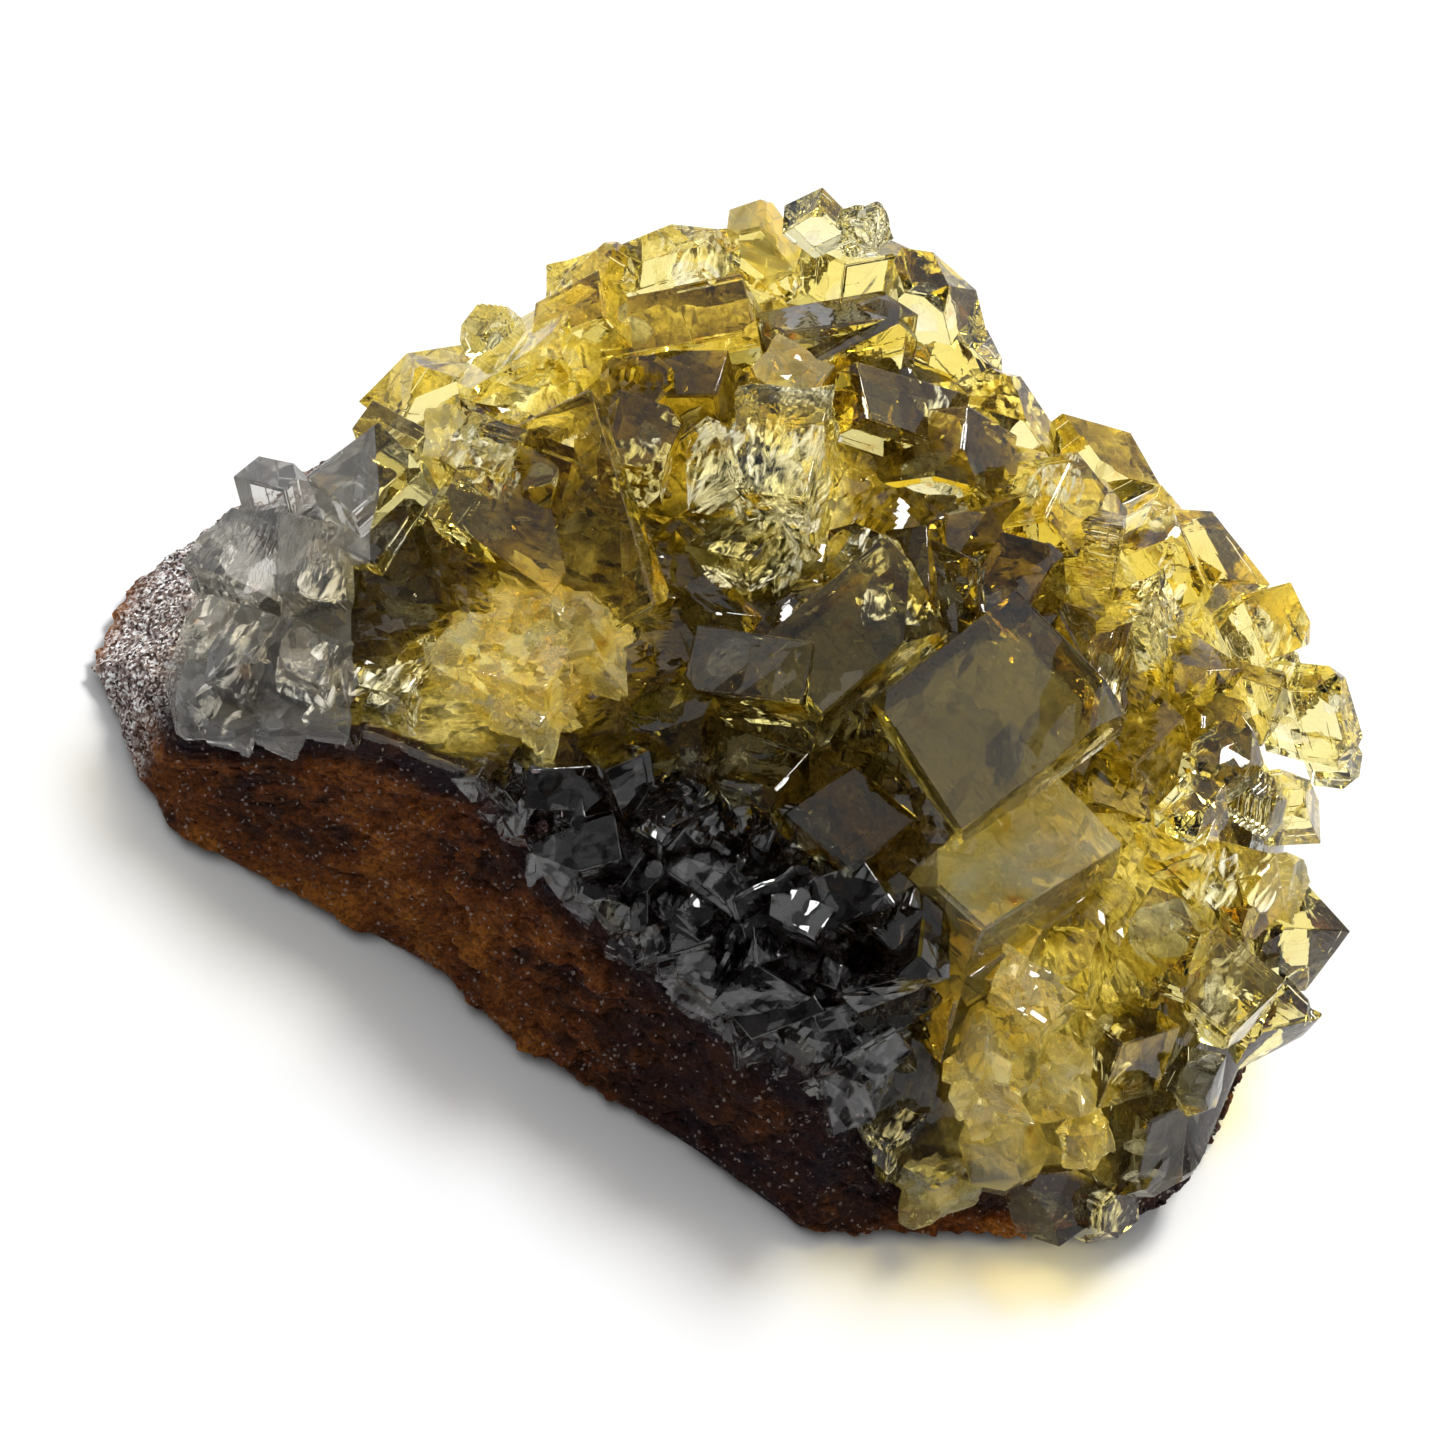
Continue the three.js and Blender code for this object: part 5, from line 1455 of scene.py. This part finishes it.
# Values of the two middle points, under the rock and on its top
ends = np.array([0.0, 1.0])
# The wall's tone takes painted shade from its relief: darker in the hollows and lighter on the swells
tone = np.where(ground > 0.5, ground_tone(rings), np.clip(wall_tone(rings) + HOLLOW_PAINTED_SHADE * hollows, -1, 1))
# Share of the left end that is frosted and brightened with painted light
frost = share_of(FROST_AND_PAINTED_LIGHT_FROM, rings[..., 0]) * share_of(FROST_AND_PAINTED_LIGHT_TO, rings[..., 0]) * (1 - ground)
for name, values in (("ground", ground), ("tone", tone), ("frost", frost)):
    layer = rock.data.attributes.new(name, "FLOAT", "POINT")
    layer.data.foreach_set("value", np.concatenate([values.ravel(), ends]))
band = grow_band()
dress(yellow, yellow_finish, "yellow_crystals")
dress(cloudy, cloudy_finish, "yellow_crystals")
dress(fractures, fracture_finish, "yellow_crystals")
dress(colourless, colourless_finish, "colourless_crystals")
dress(rock, rock_finish, "host_rock")
dress(band, dark_finish, "dark_band")


def set_stage():
    """Pale floor and surround, a small bright light at the back and a broad soft one over the front left."""
    floor_mesh = bpy.data.meshes.new("floor")
    reach = 6.0
    corners = [(-reach, -reach, 0), (reach, -reach, 0), (reach, reach, 0), (-reach, reach, 0)]
    floor_mesh.from_pydata(corners, [], [(0, 1, 2, 3)])
    floor = bpy.data.objects.new("floor", floor_mesh)
    bpy.context.scene.collection.objects.link(floor)
    finish, _, _, shader = new_material("pale_floor")
    shader.inputs["Base Color"].default_value = (0.88, 0.88, 0.88, 1)
    shader.inputs["Roughness"].default_value = 0.9
    floor_mesh.materials.append(finish)
    set_surround()
    add_light("key_light", (0.04, 0.24, 0.44), 0.14, 0.14, 32.0)
    add_light("overhead_softbox", (-0.15, -0.16, 0.46), 0.40, 0.28, 1.25)


def set_surround():
    """Studio round the specimen: bright towards the back and dim towards the front, by the direction's y."""
    world = bpy.data.worlds.new("surround")
    bpy.context.scene.world = world
    world.use_nodes = True
    nodes, links = world.node_tree.nodes, world.node_tree.links
    place = nodes.new("ShaderNodeTexCoord")
    split = nodes.new("ShaderNodeSeparateXYZ")
    links.new(place.outputs["Generated"], split.inputs["Vector"])
    across = nodes.new("ShaderNodeMapRange")
    across.interpolation_type = "SMOOTHSTEP"
    for name, value in {"From Min": -0.5, "From Max": 0.6, "To Min": 0.14, "To Max": 0.95}.items():
        across.inputs[name].default_value = value
    links.new(split.outputs["Y"], across.inputs["Value"])
    background = nodes["Background"]
    background.inputs["Color"].default_value = (0.98, 0.99, 1, 1)
    links.new(across.outputs["Result"], background.inputs["Strength"])


def add_light(name, place, width, depth, radiance):
    """Rectangular area light aimed at the specimen, its power worked out from the radiance of its face."""
    lamp = bpy.data.lights.new(name, "AREA")
    lamp.shape = "RECTANGLE"
    lamp.size = width
    lamp.size_y = depth
    lamp.energy = radiance * np.pi * width * depth
    light = bpy.data.objects.new(name, lamp)
    light.location = place
    light.rotation_mode = "QUATERNION"
    light.rotation_quaternion = (Vector((0, 0, 0.01)) - Vector(place)).to_track_quat("-Z", "Y")
    light.visible_camera = False
    bpy.context.scene.collection.objects.link(light)


def set_camera():
    """Camera on the main view's axis, with the frame's width at the target set by the lens."""
    data = bpy.data.cameras.new("camera")
    data.sensor_width = SENSOR_MM
    data.lens = SENSOR_MM * PIXELS_PER_MM * VIEW_DISTANCE / FRAME_PIXELS
    data.clip_start = 0.01
    data.clip_end = 20
    camera = bpy.data.objects.new("camera", data)
    place = (EYE - PLAN_CENTRE) * MM
    turn = np.stack([VIEW_RIGHT, VIEW_UP, -VIEW_DEPTH], 1)
    camera.matrix_world = Matrix.Translation(Vector(place)) @ Matrix(turn.tolist()).to_4x4()
    bpy.context.scene.collection.objects.link(camera)
    bpy.context.scene.camera = camera


set_stage()
set_camera()
bpy.context.scene.view_settings.view_transform = "Standard"
paths = bpy.context.scene.cycles
paths.use_light_tree = False
paths.max_bounces = 7
paths.diffuse_bounces = 1
paths.transmission_bounces = 7
paths.transparent_max_bounces = 8
